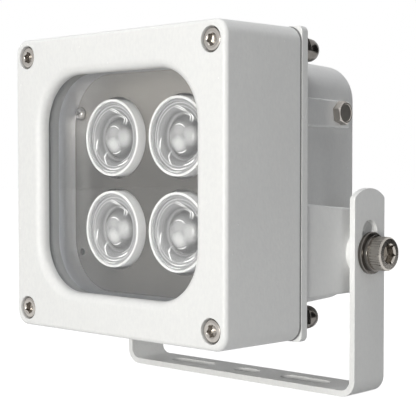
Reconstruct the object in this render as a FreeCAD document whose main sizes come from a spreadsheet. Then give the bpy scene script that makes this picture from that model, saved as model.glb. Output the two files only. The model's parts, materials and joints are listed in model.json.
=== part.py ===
import FreeCAD, Part
import math
import os
import Sketcher

# White light illuminator: a square die-cast lamp head with four lensed LEDs behind glass,
# carried between the arms of a flat-bar U bracket.
# Row frame: origin at the centre of the bracket base underside, +Z up, the lamp faces -Y.

V = FreeCAD.Vector
doc = FreeCAD.newDocument("illuminator")
sheet = doc.addObject("Spreadsheet::Sheet", "Dims")

# Driving sizes in millimetres
SIZES = dict(
    # front housing
    face_size=140.0,
    housing_depth=49.0,
    rear_flare=0.5,
    housing_corner=7.0,
    front_edge=2.2,
    housing_wall=3.5,
    front_wall=6.0,
    window_size=103.4,
    window_corner=24.5,
    window_edge=4.2,
    rim_wall=2.0,
    rim_depth=8.0,
    pillar_radius=7.5,
    # corner bolts, washers and dome nuts
    bolt_pitch=122.8,
    bolt_radius=3.0,
    bolt_clearance=0.3,
    bolt_head_radius=5.0,
    bolt_head_height=6.0,
    bolt_socket=5.0,
    bolt_socket_depth=3.0,
    bolt_recess=0.6,
    counterbore_gap=0.6,
    bolt_end_gap=0.9,
    bolt_washer_radius=6.2,
    bolt_washer=1.2,
    nut_flats=11.0,
    nut_hex_height=6.5,
    nut_dome_radius=5.4,
    nut_height=16.0,
    nut_bore_depth=12.0,
    # glass, seal and clamp frame
    glass_thickness=4.0,
    glass_lap=4.6,
    seal_lip=1.6,
    seal_setback=1.0,
    seal_wall=1.8,
    seat_gap=0.2,
    frame_setback=1.1,
    # lens plate and its screws
    plate_depth=24.0,
    plate_thickness=1.5,
    plate_size=116.0,
    plate_corner=24.0,
    plate_screw_x=48.0,
    plate_screw_z=34.3,
    plate_screw_radius=1.5,
    plate_screw_head=3.4,
    plate_screw_head_height=2.2,
    plate_screw_length=8.0,
    hole_gap=0.2,
    standoff_flats=5.5,
    stud_length=4.0,
    # lenses, holders and LEDs
    lens_pitch=44.0,
    lens_depth=20.0,
    holder_radius=18.5,
    holder_wall=1.3,
    holder_gap=1.2,
    holder_ledge=1.2,
    lens_recess=0.8,
    lens_rim=1.6,
    lens_gap=0.1,
    lens_foot_gap=0.4,
    lens_tail=6.0,
    lens_well_radius=11.0,
    lens_well_depth=5.0,
    lens_dome_height=4.0,
    lens_bore_radius=4.2,
    lens_bore_depth=5.5,
    chip_size=7.0,
    chip_base=1.0,
    chip_dome_radius=2.8,
    board_size=88.0,
    board_thickness=1.6,
    board_corner=3.0,
    board_screw_inset=4.0,
    spreader_size=112.0,
    spreader_thickness=5.0,
    spreader_corner=20.0,
    spreader_screw_pitch=97.6,
    spreader_screw_radius=2.0,
    spreader_screw_head=3.5,
    spreader_screw_head_height=2.4,
    spreader_screw_length=14.0,
    # gasket and rear casting
    gasket_thickness=0.8,
    gasket_inset=0.8,
    flange_size=141.6,
    flange_thickness=4.0,
    flange_corner=3.0,
    box_front=120.0,
    box_rear=114.8,
    box_length=54.9,
    box_corner=20.0,
    box_edge=4.0,
    cavity_size=107.0,
    cavity_corner=30.0,
    rear_wall=3.5,
    # side lugs, side bosses and their hexagon bolts
    lug_face=70.0,
    lug_boss_radius=10.0,
    lug_boss_height=3.3,
    lug_top_front=8.6,
    lug_top_rear=12.7,
    lug_bottom=51.5,
    lug_length=52.2,
    lug_edge=1.5,
    boss_face=62.0,
    boss_top=40.4,
    boss_bottom=26.6,
    boss_taper=1.2,
    boss_length=44.2,
    boss_edge=1.2,
    side_bolt_depth=89.5,
    side_bolt_height=33.5,
    side_bolt_radius=3.0,
    side_bolt_flats=10.0,
    side_bolt_head=4.0,
    side_bolt_length=5.5,
    hole_spare=1.0,
    # pivot bolts and washers
    pivot_height=67.5,
    pivot_drop=32.5,
    pivot_depth=94.0,
    pivot_bolt_radius=5.0,
    pivot_head_radius=8.0,
    pivot_head_height=7.0,
    pivot_head_edge=0.8,
    pivot_socket=8.0,
    pivot_socket_depth=4.2,
    pivot_grip=16.0,
    thread_gap=0.05,
    flat_washer_radius=10.0,
    flat_washer=2.0,
    washer_gap=0.3,
    spring_washer_radius=8.6,
    spring_washer=2.2,
    spring_washer_gap=1.6,
    # bracket
    arm_gap=0.3,
    bar_width=24.0,
    bar_thickness=3.0,
    bend_radius=5.0,
    arm_height=98.0,
    arm_end_radius=18.5,
    arm_end_edge=2.0,
    arm_slot_width=12.0,
    height_travel=9.5,
    base_slot_width=9.0,
    base_slot_length=29.0,
    base_slot_pitch=76.0,
    centre_slot_length=15.0,
    # cable gland in the rear wall
    gland_radius=10.0,
    gland_thread=9.0,
    gland_bore=6.5,
    gland_flats=24.0,
    gland_hex=6.0,
    gland_neck=6.0,
    gland_neck_radius=9.0,
    gland_seal_bore=4.0,
    gland_seal_length=9.0,
    gland_cap_length=12.0,
    gland_cap_bore=5.0,
    gland_washer=1.5,
    locknut_flats=26.0,
    locknut=4.0,
    # driver in the rear chamber
    driver_width=84.0,
    driver_height=72.0,
    driver_thickness=1.6,
    driver_gap=14.0,
    driver_screw_x=36.0,
    driver_screw_z=30.0,
    driver_post_radius=3.5,
    small_screw_radius=1.5,
    small_screw_head=2.8,
    small_screw_length=6.5,
    small_screw_head_height=1.8,
    lead_radius=0.9,
    lead_inset=4.0,
    lead_spacing=5.0,
    core_width=27.0,
    core_height=8.0,
    core_depth=21.0,
    core_limb=4.5,
    winding_height=22.0,
    winding_gap=0.3,
    transformer_x=10.0,
    transformer_down=-9.0,
    filter_choke_width=16.0,
    filter_choke_height=14.0,
    filter_choke_depth=15.0,
    filter_choke_x=-20.0,
    filter_choke_down=-17.0,
    terminal_block_width=15.0,
    terminal_block_height=12.0,
    terminal_block_depth=12.0,
    terminal_block_x=-24.0,
    terminal_block_down=12.0,
    bulk_capacitor_radius=8.0,
    bulk_capacitor_length=22.0,
    bulk_capacitor_x=-3.0,
    bulk_capacitor_down=20.0,
    output_capacitor_radius=5.0,
    output_capacitor_length=16.0,
    output_capacitor_x=22.0,
    output_capacitor_down=18.0,
)


class Size:
    """A length that knows both its number and the sheet formula that gives it."""

    def __init__(self, value, text):
        self.value = value
        self.text = text

    def join(self, other, sign, value):
        text = other.text if isinstance(other, Size) else repr(float(other))
        return Size(value, "(%s %s %s)" % (self.text, sign, text))

    def __add__(self, other):
        return self.join(other, "+", self.value + number(other))

    def __sub__(self, other):
        return self.join(other, "-", self.value - number(other))

    def __mul__(self, other):
        return self.join(other, "*", self.value * number(other))

    def __truediv__(self, other):
        return self.join(other, "/", self.value / number(other))

    def __neg__(self):
        return Size(-self.value, "(0 - %s)" % self.text)


def number(item):
    return item.value if isinstance(item, Size) else float(item)


def formula(item):
    return item.text if isinstance(item, Size) else repr(float(item))


def fill_sheet():
    found = {}
    for row, (alias, value) in enumerate(SIZES.items(), start=1):
        sheet.set("A%d" % row, alias.replace("_", " "))
        sheet.set("B%d" % row, str(value))
        sheet.setAlias("B%d" % row, alias)
        found[alias] = Size(value, "Dims." + alias)
    doc.recompute()
    return found


class Names:
    """The sheet's sizes as attributes, such as d.face_size."""

    def __init__(self, table):
        self.__dict__.update(table)


d = Names(fill_sheet())
ZERO = Size(0.0, "0")

# Places that several pieces share, measured back from the front face
seal_half = d.window_size / 2 + d.seal_setback
seal_rear = d.front_wall + d.seal_lip * 2 + d.glass_thickness
glass_half = d.window_size / 2 + d.glass_lap
glass_corner = d.window_corner + d.glass_lap
seal_outer = glass_half + d.seal_wall
seal_corner = glass_corner + d.seal_wall
rim_half = seal_outer + d.seat_gap
rim_corner = seal_corner + d.seat_gap
frame_half = d.window_size / 2 + d.frame_setback
flange_front = d.housing_depth + d.gasket_thickness
flange_rear = flange_front + d.flange_thickness
box_rear_face = flange_rear + d.box_length
chamber_rear = box_rear_face - d.rear_wall
spreader_front = flange_front - d.spreader_thickness
board_front = spreader_front - d.board_thickness
plate_rear = d.plate_depth + d.plate_thickness
lens_front = d.lens_depth + d.lens_recess
lens_length = board_front - d.chip_base - d.lens_foot_gap - lens_front
driver_rear = chamber_rear - d.driver_gap
driver_front = driver_rear - d.driver_thickness
lamp_height = d.pivot_height + d.pivot_drop
pivot_face = d.lug_face + d.lug_boss_height
arm_inner = pivot_face + d.arm_gap
arm_outer = arm_inner + d.bar_thickness
bolt_half = d.bolt_pitch / 2
bolt_end = flange_rear + d.bolt_washer + d.nut_bore_depth - d.bolt_end_gap
bolt_length = bolt_end - d.bolt_recess - d.bolt_head_height
hole_radius = d.bolt_radius + d.bolt_clearance
CORNERS = [(1, 1), (-1, 1), (-1, -1), (1, -1)]
LAMP_TURN = FreeCAD.Rotation(V(1, 0, 0), -90)


def bind(item, **sizes):
    """Tie properties to the sheet."""
    for name, size in sizes.items():
        item.setExpression(name.replace("__", "."), formula(size))


def place(item, x, y, z, turn=FreeCAD.Rotation()):
    """Put a piece at a point of the row frame."""
    item.Placement = FreeCAD.Placement(V(number(x), number(y), number(z)), turn)
    bind(item, Placement__Base__x=x, Placement__Base__y=y, Placement__Base__z=z)


def place_in_lamp(item, depth, x=ZERO, down=ZERO, turn=FreeCAD.Rotation()):
    """Put a piece in the lamp head: its local Z runs back from the front face, local Y runs down."""
    place(item, x, depth - d.pivot_depth, lamp_height - down, LAMP_TURN * turn)


def set_offset(item, x, y, z):
    """Shift a primitive inside its group by sizes of the sheet."""
    item.Placement.Base = V(number(x), number(y), number(z))
    bind(item, Placement__Base__x=x, Placement__Base__y=y, Placement__Base__z=z)


# Sketches and features of the bodies

def new_body(label):
    body = doc.addObject("PartDesign::Body", label)
    body.Label = label
    return body


def plane_of(body, role):
    return next(item for item in body.Origin.OriginFeatures if item.Role == role)


def new_sketch(body, name, height=ZERO, role="XY_Plane"):
    """A sketch parallel to one of the body's own planes, at a height along its normal."""
    sketch = body.newObject("Sketcher::SketchObject", name)
    sketch.AttachmentSupport = [(plane_of(body, role), "")]
    sketch.MapMode = "FlatFace"
    sketch.AttachmentOffset = FreeCAD.Placement(V(0, 0, number(height)), FreeCAD.Rotation())
    bind(sketch, AttachmentOffset__Base__z=height)
    return sketch


def tie(sketch, kind, *where, size):
    """Add one dimension to a sketch and bind it to the sheet."""
    index = sketch.addConstraint(Sketcher.Constraint(kind, *where, number(size)))
    sketch.setExpression("Constraints[%d]" % index, formula(size))


def draw_rounded(sketch, half_x, half_y, radius):
    """A rectangle with round corners about the sketch's origin."""
    hx, hy, r = number(half_x), number(half_y), number(radius)
    corners = [(hx - r, hy - r, 0), (r - hx, hy - r, 90), (r - hx, r - hy, 180), (hx - r, r - hy, 270)]
    first = sketch.GeometryCount
    for cx, cy, start in corners:
        circle = Part.Circle(V(cx, cy, 0), V(0, 0, 1), r)
        sketch.addGeometry(Part.ArcOfCircle(circle, math.radians(start), math.radians(start + 90)))
    ends = [((hx - r, hy), (r - hx, hy)), ((-hx, hy - r), (-hx, r - hy)),
            ((r - hx, -hy), (hx - r, -hy)), ((hx, r - hy), (hx, hy - r))]
    for begin, end in ends:
        sketch.addGeometry(Part.LineSegment(V(*begin, 0), V(*end, 0)))
    for side in range(4):
        arc, line, after = first + side, first + 4 + side, first + (side + 1) % 4
        sketch.addConstraint(Sketcher.Constraint("Tangent", arc, 2, line, 1))
        sketch.addConstraint(Sketcher.Constraint("Tangent", line, 2, after, 1))
        sketch.addConstraint(Sketcher.Constraint("Horizontal" if side % 2 == 0 else "Vertical", line))
    for side in range(1, 4):
        sketch.addConstraint(Sketcher.Constraint("Equal", first, first + side))
    tie(sketch, "Radius", first, size=radius)
    tie(sketch, "DistanceY", -1, 1, first + 4, 1, size=half_y)
    tie(sketch, "DistanceX", first + 5, 1, -1, 1, size=half_x)
    tie(sketch, "DistanceY", first + 6, 1, -1, 1, size=half_y)
    tie(sketch, "DistanceX", -1, 1, first + 7, 1, size=half_x)


def draw_square(sketch, half, radius):
    draw_rounded(sketch, half, half, radius)


def pin_point(sketch, geometry, point, x, y):
    """Fix a point of the sketch by its distances from the origin."""
    for kind, size in (("DistanceX", x), ("DistanceY", y)):
        if number(size) < 0:
            tie(sketch, kind, geometry, point, -1, 1, size=-size)
        elif number(size) > 0:
            tie(sketch, kind, -1, 1, geometry, point, size=size)
        else:
            axis = -2 if kind == "DistanceX" else -1
            sketch.addConstraint(Sketcher.Constraint("PointOnObject", geometry, point, axis))


def draw_circles(sketch, centres, radius):
    for x, y in centres:
        index = sketch.addGeometry(Part.Circle(V(number(x), number(y), 0), V(0, 0, 1), number(radius)))
        pin_point(sketch, index, 3, x, y)
        tie(sketch, "Radius", index, size=radius)


def draw_polygon(sketch, points):
    """A closed outline of straight edges through the given points."""
    flat = [V(number(x), number(y), 0) for x, y in points]
    first = sketch.GeometryCount
    for index, point in enumerate(flat):
        sketch.addGeometry(Part.LineSegment(point, flat[(index + 1) % len(flat)]))
    for index in range(len(flat)):
        after = first + (index + 1) % len(flat)
        sketch.addConstraint(Sketcher.Constraint("Coincident", first + index, 2, after, 1))
    for index, (x, y) in enumerate(points):
        pin_point(sketch, first + index, 1, x, y)


def draw_slot(sketch, x, y, length, width, upright=False):
    """A slot with round ends, centred at x, y."""
    reach = (length - width) / 2
    r, cx, cy, run = number(width) / 2, number(x), number(y), number(reach)
    along = V(0, 1, 0) if upright else V(1, 0, 0)
    side = V(-1, 0, 0) if upright else V(0, 1, 0)
    centre = V(cx, cy, 0)
    ends = [centre + along * run, centre - along * run]
    turn = 90 if upright else 0
    arcs = []
    for end, start in zip(ends, (turn - 90, turn + 90)):
        circle = Part.Circle(end, V(0, 0, 1), r)
        arcs.append(sketch.addGeometry(Part.ArcOfCircle(circle, math.radians(start), math.radians(start + 180))))
    top = sketch.addGeometry(Part.LineSegment(ends[0] + side * r, ends[1] + side * r))
    low = sketch.addGeometry(Part.LineSegment(ends[1] - side * r, ends[0] - side * r))
    joins = [(arcs[0], 2, top, 1), (top, 2, arcs[1], 1), (arcs[1], 2, low, 1), (low, 2, arcs[0], 1)]
    for join in joins:
        sketch.addConstraint(Sketcher.Constraint("Tangent", *join))
    tie(sketch, "Radius", arcs[0], size=width / 2)
    if upright:
        pin_point(sketch, arcs[0], 3, x, y + reach)
        pin_point(sketch, arcs[1], 3, x, y - reach)
    else:
        pin_point(sketch, arcs[0], 3, x + reach, y)
        pin_point(sketch, arcs[1], 3, x - reach, y)


def pad(body, name, sketch, length, midplane=False):
    feature = body.newObject("PartDesign::Pad", name)
    feature.Profile = sketch
    feature.Midplane = midplane
    bind(feature, Length=length)
    return feature


def pocket(body, name, sketch, length, midplane=False):
    """Cut from the sketch along its normal, or to both sides of it."""
    feature = body.newObject("PartDesign::Pocket", name)
    feature.Profile = sketch
    feature.Midplane = midplane
    feature.Reversed = not midplane
    bind(feature, Length=length)
    return feature


def taper(feature, spread, length):
    """Slope the sides of a pad or pocket outwards by a spread over its length."""
    slope = math.degrees(math.atan(number(spread) / number(length)))
    bind(feature, TaperAngle=Size(slope, "atan(%s / %s)" % (formula(spread), formula(length))))


def dress(body, name, kind, base, edges, size):
    """Round or bevel some edges of the feature before it."""
    if not edges:
        raise RuntimeError("no edges found for " + name)
    feature = body.newObject("PartDesign::" + kind, name)
    feature.Base = (base, edges)
    bind(feature, **{"Radius" if kind == "Fillet" else "Size": size})
    return feature


def edges_where(feature, test):
    """Names of the edges whose bounding box passes a test."""
    found = []
    for index, edge in enumerate(feature.Shape.Edges, start=1):
        if test(edge.BoundBox):
            found.append("Edge%d" % index)
    return found


def near(a, b, slack=0.02):
    return abs(a - number(b)) < slack


def at_height(z):
    return lambda box: near(box.ZMin, z) and near(box.ZMax, z)


def ring(label, outer, outer_corner, inner, inner_corner, length):
    """A square frame with round corners, standing on its own local XY plane."""
    body = new_body(label)
    outline = new_sketch(body, label + "_outline")
    draw_square(outline, outer, outer_corner)
    draw_square(outline, inner, inner_corner)
    pad(body, label + "_wall", outline, length)
    return body


# Groups of turned and hexagonal pieces

def cylinder(name, radius, height, z=ZERO, x=ZERO, y=ZERO):
    item = doc.addObject("Part::Cylinder", name)
    bind(item, Radius=radius, Height=height)
    set_offset(item, x, y, z)
    return item


def hexagon(name, flats, height, z=ZERO):
    item = doc.addObject("Part::Prism", name)
    item.Polygon = 6
    bind(item, Circumradius=flats / math.sqrt(3.0), Height=height)
    set_offset(item, ZERO, ZERO, z)
    return item


def brick(name, length, width, height, x=ZERO, y=ZERO, z=ZERO):
    """A block centred on x, y that stands on z."""
    item = doc.addObject("Part::Box", name)
    bind(item, Length=length, Width=width, Height=height)
    set_offset(item, x - length / 2, y - width / 2, z)
    return item


def cut(name, base, tool):
    item = doc.addObject("Part::Cut", name)
    item.Base = base
    item.Tool = tool
    return item


def fuse(name, *pieces):
    item = doc.addObject("Part::MultiFuse", name)
    item.Shapes = list(pieces)
    return item


def common(name, *pieces):
    item = doc.addObject("Part::MultiCommon", name)
    item.Shapes = list(pieces)
    return item


def group(label, pieces):
    """Separate solids that share one node."""
    item = doc.addObject("Part::Compound", label)
    item.Label = label
    item.Links = pieces
    return item


def socket_screw(name, head_radius, head_height, radius, length, socket, socket_depth):
    """A socket head screw: head from local Z 0, shank behind it."""
    head = cylinder(name + "_head", head_radius, head_height)
    shank = cylinder(name + "_shank", radius, length, z=head_height)
    key = hexagon(name + "_socket", socket, socket_depth)
    return cut(name, fuse(name + "_blank", head, shank), key)


def small_screw(name):
    return socket_screw(name, d.small_screw_head, d.small_screw_head_height, d.small_screw_radius,
                        d.small_screw_length, d.small_screw_radius * 1.4, d.small_screw_head_height / 2)


def washer(name, radius, bore, thickness):
    return cut(name, cylinder(name + "_disc", radius, thickness), cylinder(name + "_hole", bore, thickness))


def turned(label, outline):
    """A piece turned about its local Z from an outline of (radius, height) points."""
    body = new_body(label)
    sketch = new_sketch(body, label + "_profile", role="XZ_Plane")
    draw_polygon(sketch, outline)
    feature = body.newObject("PartDesign::Revolution", label + "_turn")
    feature.Profile = sketch
    feature.ReferenceAxis = (sketch, ["V_Axis"])
    feature.Angle = 360
    return body


# Front housing

def make_front_housing():
    body = new_body("front_housing")
    half = d.face_size / 2
    front = new_sketch(body, "face_outline")
    draw_square(front, half, d.housing_corner)
    block = pad(body, "housing_block", front, d.housing_depth)
    taper(block, d.rear_flare, d.housing_depth)
    doc.recompute()
    block = dress(body, "face_edge", "Fillet", block, edges_where(block, at_height(0)), d.front_edge)
    hollow = new_sketch(body, "hollow_outline", d.front_wall)
    draw_square(hollow, half - d.housing_wall, d.housing_corner - d.housing_wall / 2)
    pocket(body, "hollow", hollow, d.housing_depth)
    pillars = new_sketch(body, "pillar_outline", d.front_wall)
    centres = [(bolt_half * sx, bolt_half * sy) for sx, sy in CORNERS]
    draw_circles(pillars, centres, d.pillar_radius)
    pad(body, "pillars", pillars, d.housing_depth - d.front_wall)
    rim = new_sketch(body, "rim_outline", d.front_wall)
    draw_square(rim, rim_half + d.rim_wall, rim_corner + d.rim_wall)
    draw_square(rim, rim_half, rim_corner)
    pad(body, "seal_rim", rim, d.rim_depth)
    window = new_sketch(body, "window_outline")
    draw_square(window, d.window_size / 2, d.window_corner)
    opening = pocket(body, "window", window, d.front_wall)
    doc.recompute()
    mouth = number(d.window_size) / 2 + 0.1
    inside = edges_where(opening, lambda box: at_height(0)(box) and box.XMax < mouth
                         and box.XMin > -mouth and box.YMax < mouth and box.YMin > -mouth)
    dress(body, "window_round", "Fillet", opening, inside, d.window_edge)
    seats = new_sketch(body, "counterbore_outline")
    draw_circles(seats, centres, d.bolt_head_radius + d.counterbore_gap)
    pocket(body, "counterbores", seats, d.bolt_head_height + d.bolt_recess)
    holes = new_sketch(body, "bolt_hole_outline")
    draw_circles(holes, centres, hole_radius)
    pocket(body, "bolt_holes", holes, d.housing_depth)
    place_in_lamp(body, ZERO)
    return body


# Glass, its seal and the frame that clamps it

def make_glass():
    body = new_body("front_glass")
    outline = new_sketch(body, "glass_outline")
    draw_square(outline, glass_half, glass_corner)
    pad(body, "glass_pane", outline, d.glass_thickness)
    place_in_lamp(body, d.front_wall + d.seal_lip)
    return body


def make_glass_seal():
    body = ring("glass_seal", seal_outer, seal_corner, seal_half, d.window_corner + d.seal_setback,
                seal_rear - d.front_wall)
    groove = new_sketch(body, "groove_outline", d.seal_lip)
    draw_square(groove, glass_half, glass_corner)
    pocket(body, "glass_groove", groove, d.glass_thickness)
    place_in_lamp(body, d.front_wall)
    return body


def make_clamp_frame():
    body = ring("clamp_frame", seal_outer, seal_corner, frame_half, d.window_corner + d.frame_setback,
                d.plate_depth - seal_rear)
    place_in_lamp(body, seal_rear)
    return body


# Lens plate, its screws and standoffs

LENS_SIGNS = [(-1, -1), (1, -1), (-1, 1), (1, 1)]
SCREW_SIGNS = [(-1, -1), (1, -1), (1, 1)]


def lens_centre(sx, sy):
    return d.lens_pitch / 2 * sx, d.lens_pitch / 2 * sy


def plate_screw(sx, sy):
    return d.plate_screw_x * sx, d.plate_screw_z * sy


def make_lens_plate():
    body = new_body("lens_plate")
    outline = new_sketch(body, "plate_outline")
    draw_square(outline, d.plate_size / 2, d.plate_corner)
    pad(body, "plate_sheet", outline, d.plate_thickness)
    openings = new_sketch(body, "lens_openings")
    draw_circles(openings, [lens_centre(*signs) for signs in LENS_SIGNS], d.holder_radius + d.holder_gap)
    pocket(body, "lens_holes", openings, d.plate_thickness)
    drilled = new_sketch(body, "screw_openings")
    draw_circles(drilled, [plate_screw(*signs) for signs in LENS_SIGNS], d.plate_screw_radius + d.hole_gap)
    pocket(body, "screw_holes", drilled, d.plate_thickness)
    place_in_lamp(body, d.plate_depth)
    return body


def make_plate_screws():
    screws = []
    for index, signs in enumerate(SCREW_SIGNS, start=1):
        name = "plate_screw_%d" % index
        screw = socket_screw(name, d.plate_screw_head, d.plate_screw_head_height, d.plate_screw_radius,
                             d.plate_screw_length, d.plate_screw_radius * 1.4, d.plate_screw_radius)
        x, down = plate_screw(*signs)
        place_in_lamp(screw, d.plate_depth - d.plate_screw_head_height, x, down)
        screws.append(screw)
    return group("plate_screws", screws)


def make_standoffs():
    """Hexagonal posts between the lens plate and the heat spreader, each with a stud at its foot."""
    posts = []
    for index, signs in enumerate(SCREW_SIGNS, start=1):
        name = "standoff_%d" % index
        length = spreader_front - plate_rear
        bore = cylinder(name + "_bore", d.plate_screw_radius + d.thread_gap, d.plate_screw_length)
        foot = cylinder(name + "_stud", d.plate_screw_radius, d.stud_length, z=length)
        shaft = fuse(name + "_blank", hexagon(name + "_hexagon", d.standoff_flats, length), foot)
        post = cut(name, shaft, bore)
        x, down = plate_screw(*signs)
        place_in_lamp(post, plate_rear, x, down)
        posts.append(post)
    return group("plate_standoffs", posts)


# Lenses, holders and LEDs

def make_holder(index, signs):
    """White tube that stands on the LED board and carries one lens."""
    outer, inner, length = d.holder_radius, d.holder_radius - d.holder_wall, board_front - d.lens_depth
    seat = d.lens_recess + d.lens_rim
    outline = [(outer, ZERO), (outer, length), (inner - d.holder_ledge, length),
               (inner - d.holder_ledge, seat), (inner, seat), (inner, ZERO)]
    body = turned("lens_holder_%d" % index, outline)
    x, down = lens_centre(*signs)
    place_in_lamp(body, d.lens_depth, x, down)
    return body


def make_lens(index, signs):
    """Clear collimating lens: a cone with a stepped front well and a bore over the LED."""
    outer = d.holder_radius - d.holder_wall - d.lens_gap
    cone = outer - d.lens_rim
    outline = [(ZERO, d.lens_well_depth - d.lens_dome_height),
               (d.lens_well_radius * 0.5, d.lens_well_depth - d.lens_dome_height * 0.72),
               (d.lens_well_radius * 0.85, d.lens_well_depth - d.lens_dome_height * 0.2),
               (d.lens_well_radius, d.lens_well_depth), (d.lens_well_radius, d.lens_rim * 0.5),
               (cone, ZERO), (outer, ZERO), (outer, d.lens_rim), (cone, d.lens_rim),
               (d.lens_tail, lens_length), (d.lens_bore_radius, lens_length),
               (d.lens_bore_radius, lens_length - d.lens_bore_depth),
               (ZERO, lens_length - d.lens_bore_depth)]
    body = turned("lens_%d" % index, outline)
    x, down = lens_centre(*signs)
    place_in_lamp(body, lens_front, x, down)
    return body


def make_emitter(index, signs):
    name = "led_emitter_%d" % index
    base = brick(name + "_base", d.chip_size, d.chip_size, d.chip_base)
    dome = doc.addObject("Part::Sphere", name + "_ball")
    bind(dome, Radius=d.chip_dome_radius)
    dome.Angle1 = -90
    dome.Angle2 = 0
    emitter = fuse(name, base, dome)
    emitter.Label = name
    x, down = lens_centre(*signs)
    place_in_lamp(emitter, board_front - d.chip_base, x, down)
    return emitter


def make_led_board():
    body = new_body("led_board")
    outline = new_sketch(body, "board_outline")
    draw_square(outline, d.board_size / 2, d.board_corner)
    pad(body, "board_sheet", outline, d.board_thickness)
    wired = new_sketch(body, "lead_openings")
    draw_circles(wired, lead_places(), d.lead_radius + d.hole_gap)
    pocket(body, "lead_holes", wired, d.board_thickness)
    drilled = new_sketch(body, "board_openings")
    draw_circles(drilled, board_screw_places(), d.small_screw_radius + d.hole_gap)
    pocket(body, "board_holes", drilled, d.board_thickness)
    # notches that clear the standoffs and the spreader screws, should the board reach them
    half = d.spreader_screw_pitch / 2
    passed = new_sketch(body, "board_notch_outline")
    draw_circles(passed, [plate_screw(*signs) for signs in SCREW_SIGNS], d.standoff_flats * 0.58 + d.hole_gap)
    draw_circles(passed, [(half * sx, half * sy) for sx, sy in CORNERS], d.spreader_screw_head + d.hole_gap)
    pocket(body, "board_notches", passed, d.board_thickness)
    place_in_lamp(body, board_front)
    return body


def board_screw_places():
    reach = d.board_size / 2 - d.board_screw_inset
    return [(ZERO, -reach), (-reach, ZERO), (ZERO, reach)]


def make_board_screws():
    screws = []
    for index, (x, down) in enumerate(board_screw_places(), start=1):
        screw = small_screw("board_screw_%d" % index)
        place_in_lamp(screw, board_front - d.small_screw_head_height, x, down)
        screws.append(screw)
    return group("board_screws", screws)


def lead_places():
    return [(d.board_size / 2 - d.lead_inset, d.lead_spacing / 2 * sign) for sign in (-1, 1)]


def make_heat_spreader():
    body = new_body("heat_spreader")
    outline = new_sketch(body, "spreader_outline")
    draw_square(outline, d.spreader_size / 2, d.spreader_corner)
    pad(body, "spreader_plate", outline, d.spreader_thickness)
    half = d.spreader_screw_pitch / 2
    drilled = new_sketch(body, "spreader_screw_openings")
    draw_circles(drilled, [(half * sx, half * sy) for sx, sy in CORNERS],
                 d.spreader_screw_radius + d.hole_gap)
    pocket(body, "spreader_screw_holes", drilled, d.spreader_thickness)
    wired = new_sketch(body, "spreader_lead_openings")
    draw_circles(wired, lead_places(), d.lead_radius + d.hole_gap)
    pocket(body, "spreader_lead_holes", wired, d.spreader_thickness)
    tapped = new_sketch(body, "spreader_tapped_openings")
    places = board_screw_places() + [plate_screw(*signs) for signs in SCREW_SIGNS]
    draw_circles(tapped, places, d.small_screw_radius + d.thread_gap)
    pocket(body, "spreader_tapped_holes", tapped, d.spreader_thickness)
    place_in_lamp(body, spreader_front)
    return body


def make_spreader_screws():
    screws = []
    half = d.spreader_screw_pitch / 2
    for index, (sx, sy) in enumerate(CORNERS, start=1):
        screw = socket_screw("spreader_screw_%d" % index, d.spreader_screw_head,
                             d.spreader_screw_head_height, d.spreader_screw_radius,
                             d.spreader_screw_length, d.spreader_screw_radius * 1.5,
                             d.spreader_screw_head_height / 2)
        place_in_lamp(screw, spreader_front - d.spreader_screw_head_height, half * sx, half * sy)
        screws.append(screw)
    return group("spreader_screws", screws)


def make_leads():
    """Stiff insulated leads from the driver board to the LED board."""
    leads = []
    for index, (x, down) in enumerate(lead_places(), start=1):
        lead = cylinder("led_lead_%d" % index, d.lead_radius, driver_front - board_front)
        place_in_lamp(lead, board_front, x, down)
        leads.append(lead)
    return group("led_leads", leads)


# Gasket and rear casting

def make_gasket():
    outer = d.face_size / 2 + d.rear_flare - d.gasket_inset
    inner = d.face_size / 2 - d.housing_wall
    body = ring("housing_gasket", outer, d.housing_corner - d.gasket_inset, inner,
                d.housing_corner - d.housing_wall / 2, d.gasket_thickness)
    centres = [(bolt_half * sx, bolt_half * sy) for sx, sy in CORNERS]
    lobes = new_sketch(body, "lobe_outline")
    draw_circles(lobes, centres, d.pillar_radius)
    pad(body, "lobes", lobes, d.gasket_thickness)
    holes = new_sketch(body, "gasket_hole_outline")
    draw_circles(holes, centres, hole_radius)
    pocket(body, "gasket_holes", holes, d.gasket_thickness)
    place_in_lamp(body, d.housing_depth)
    return body


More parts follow.
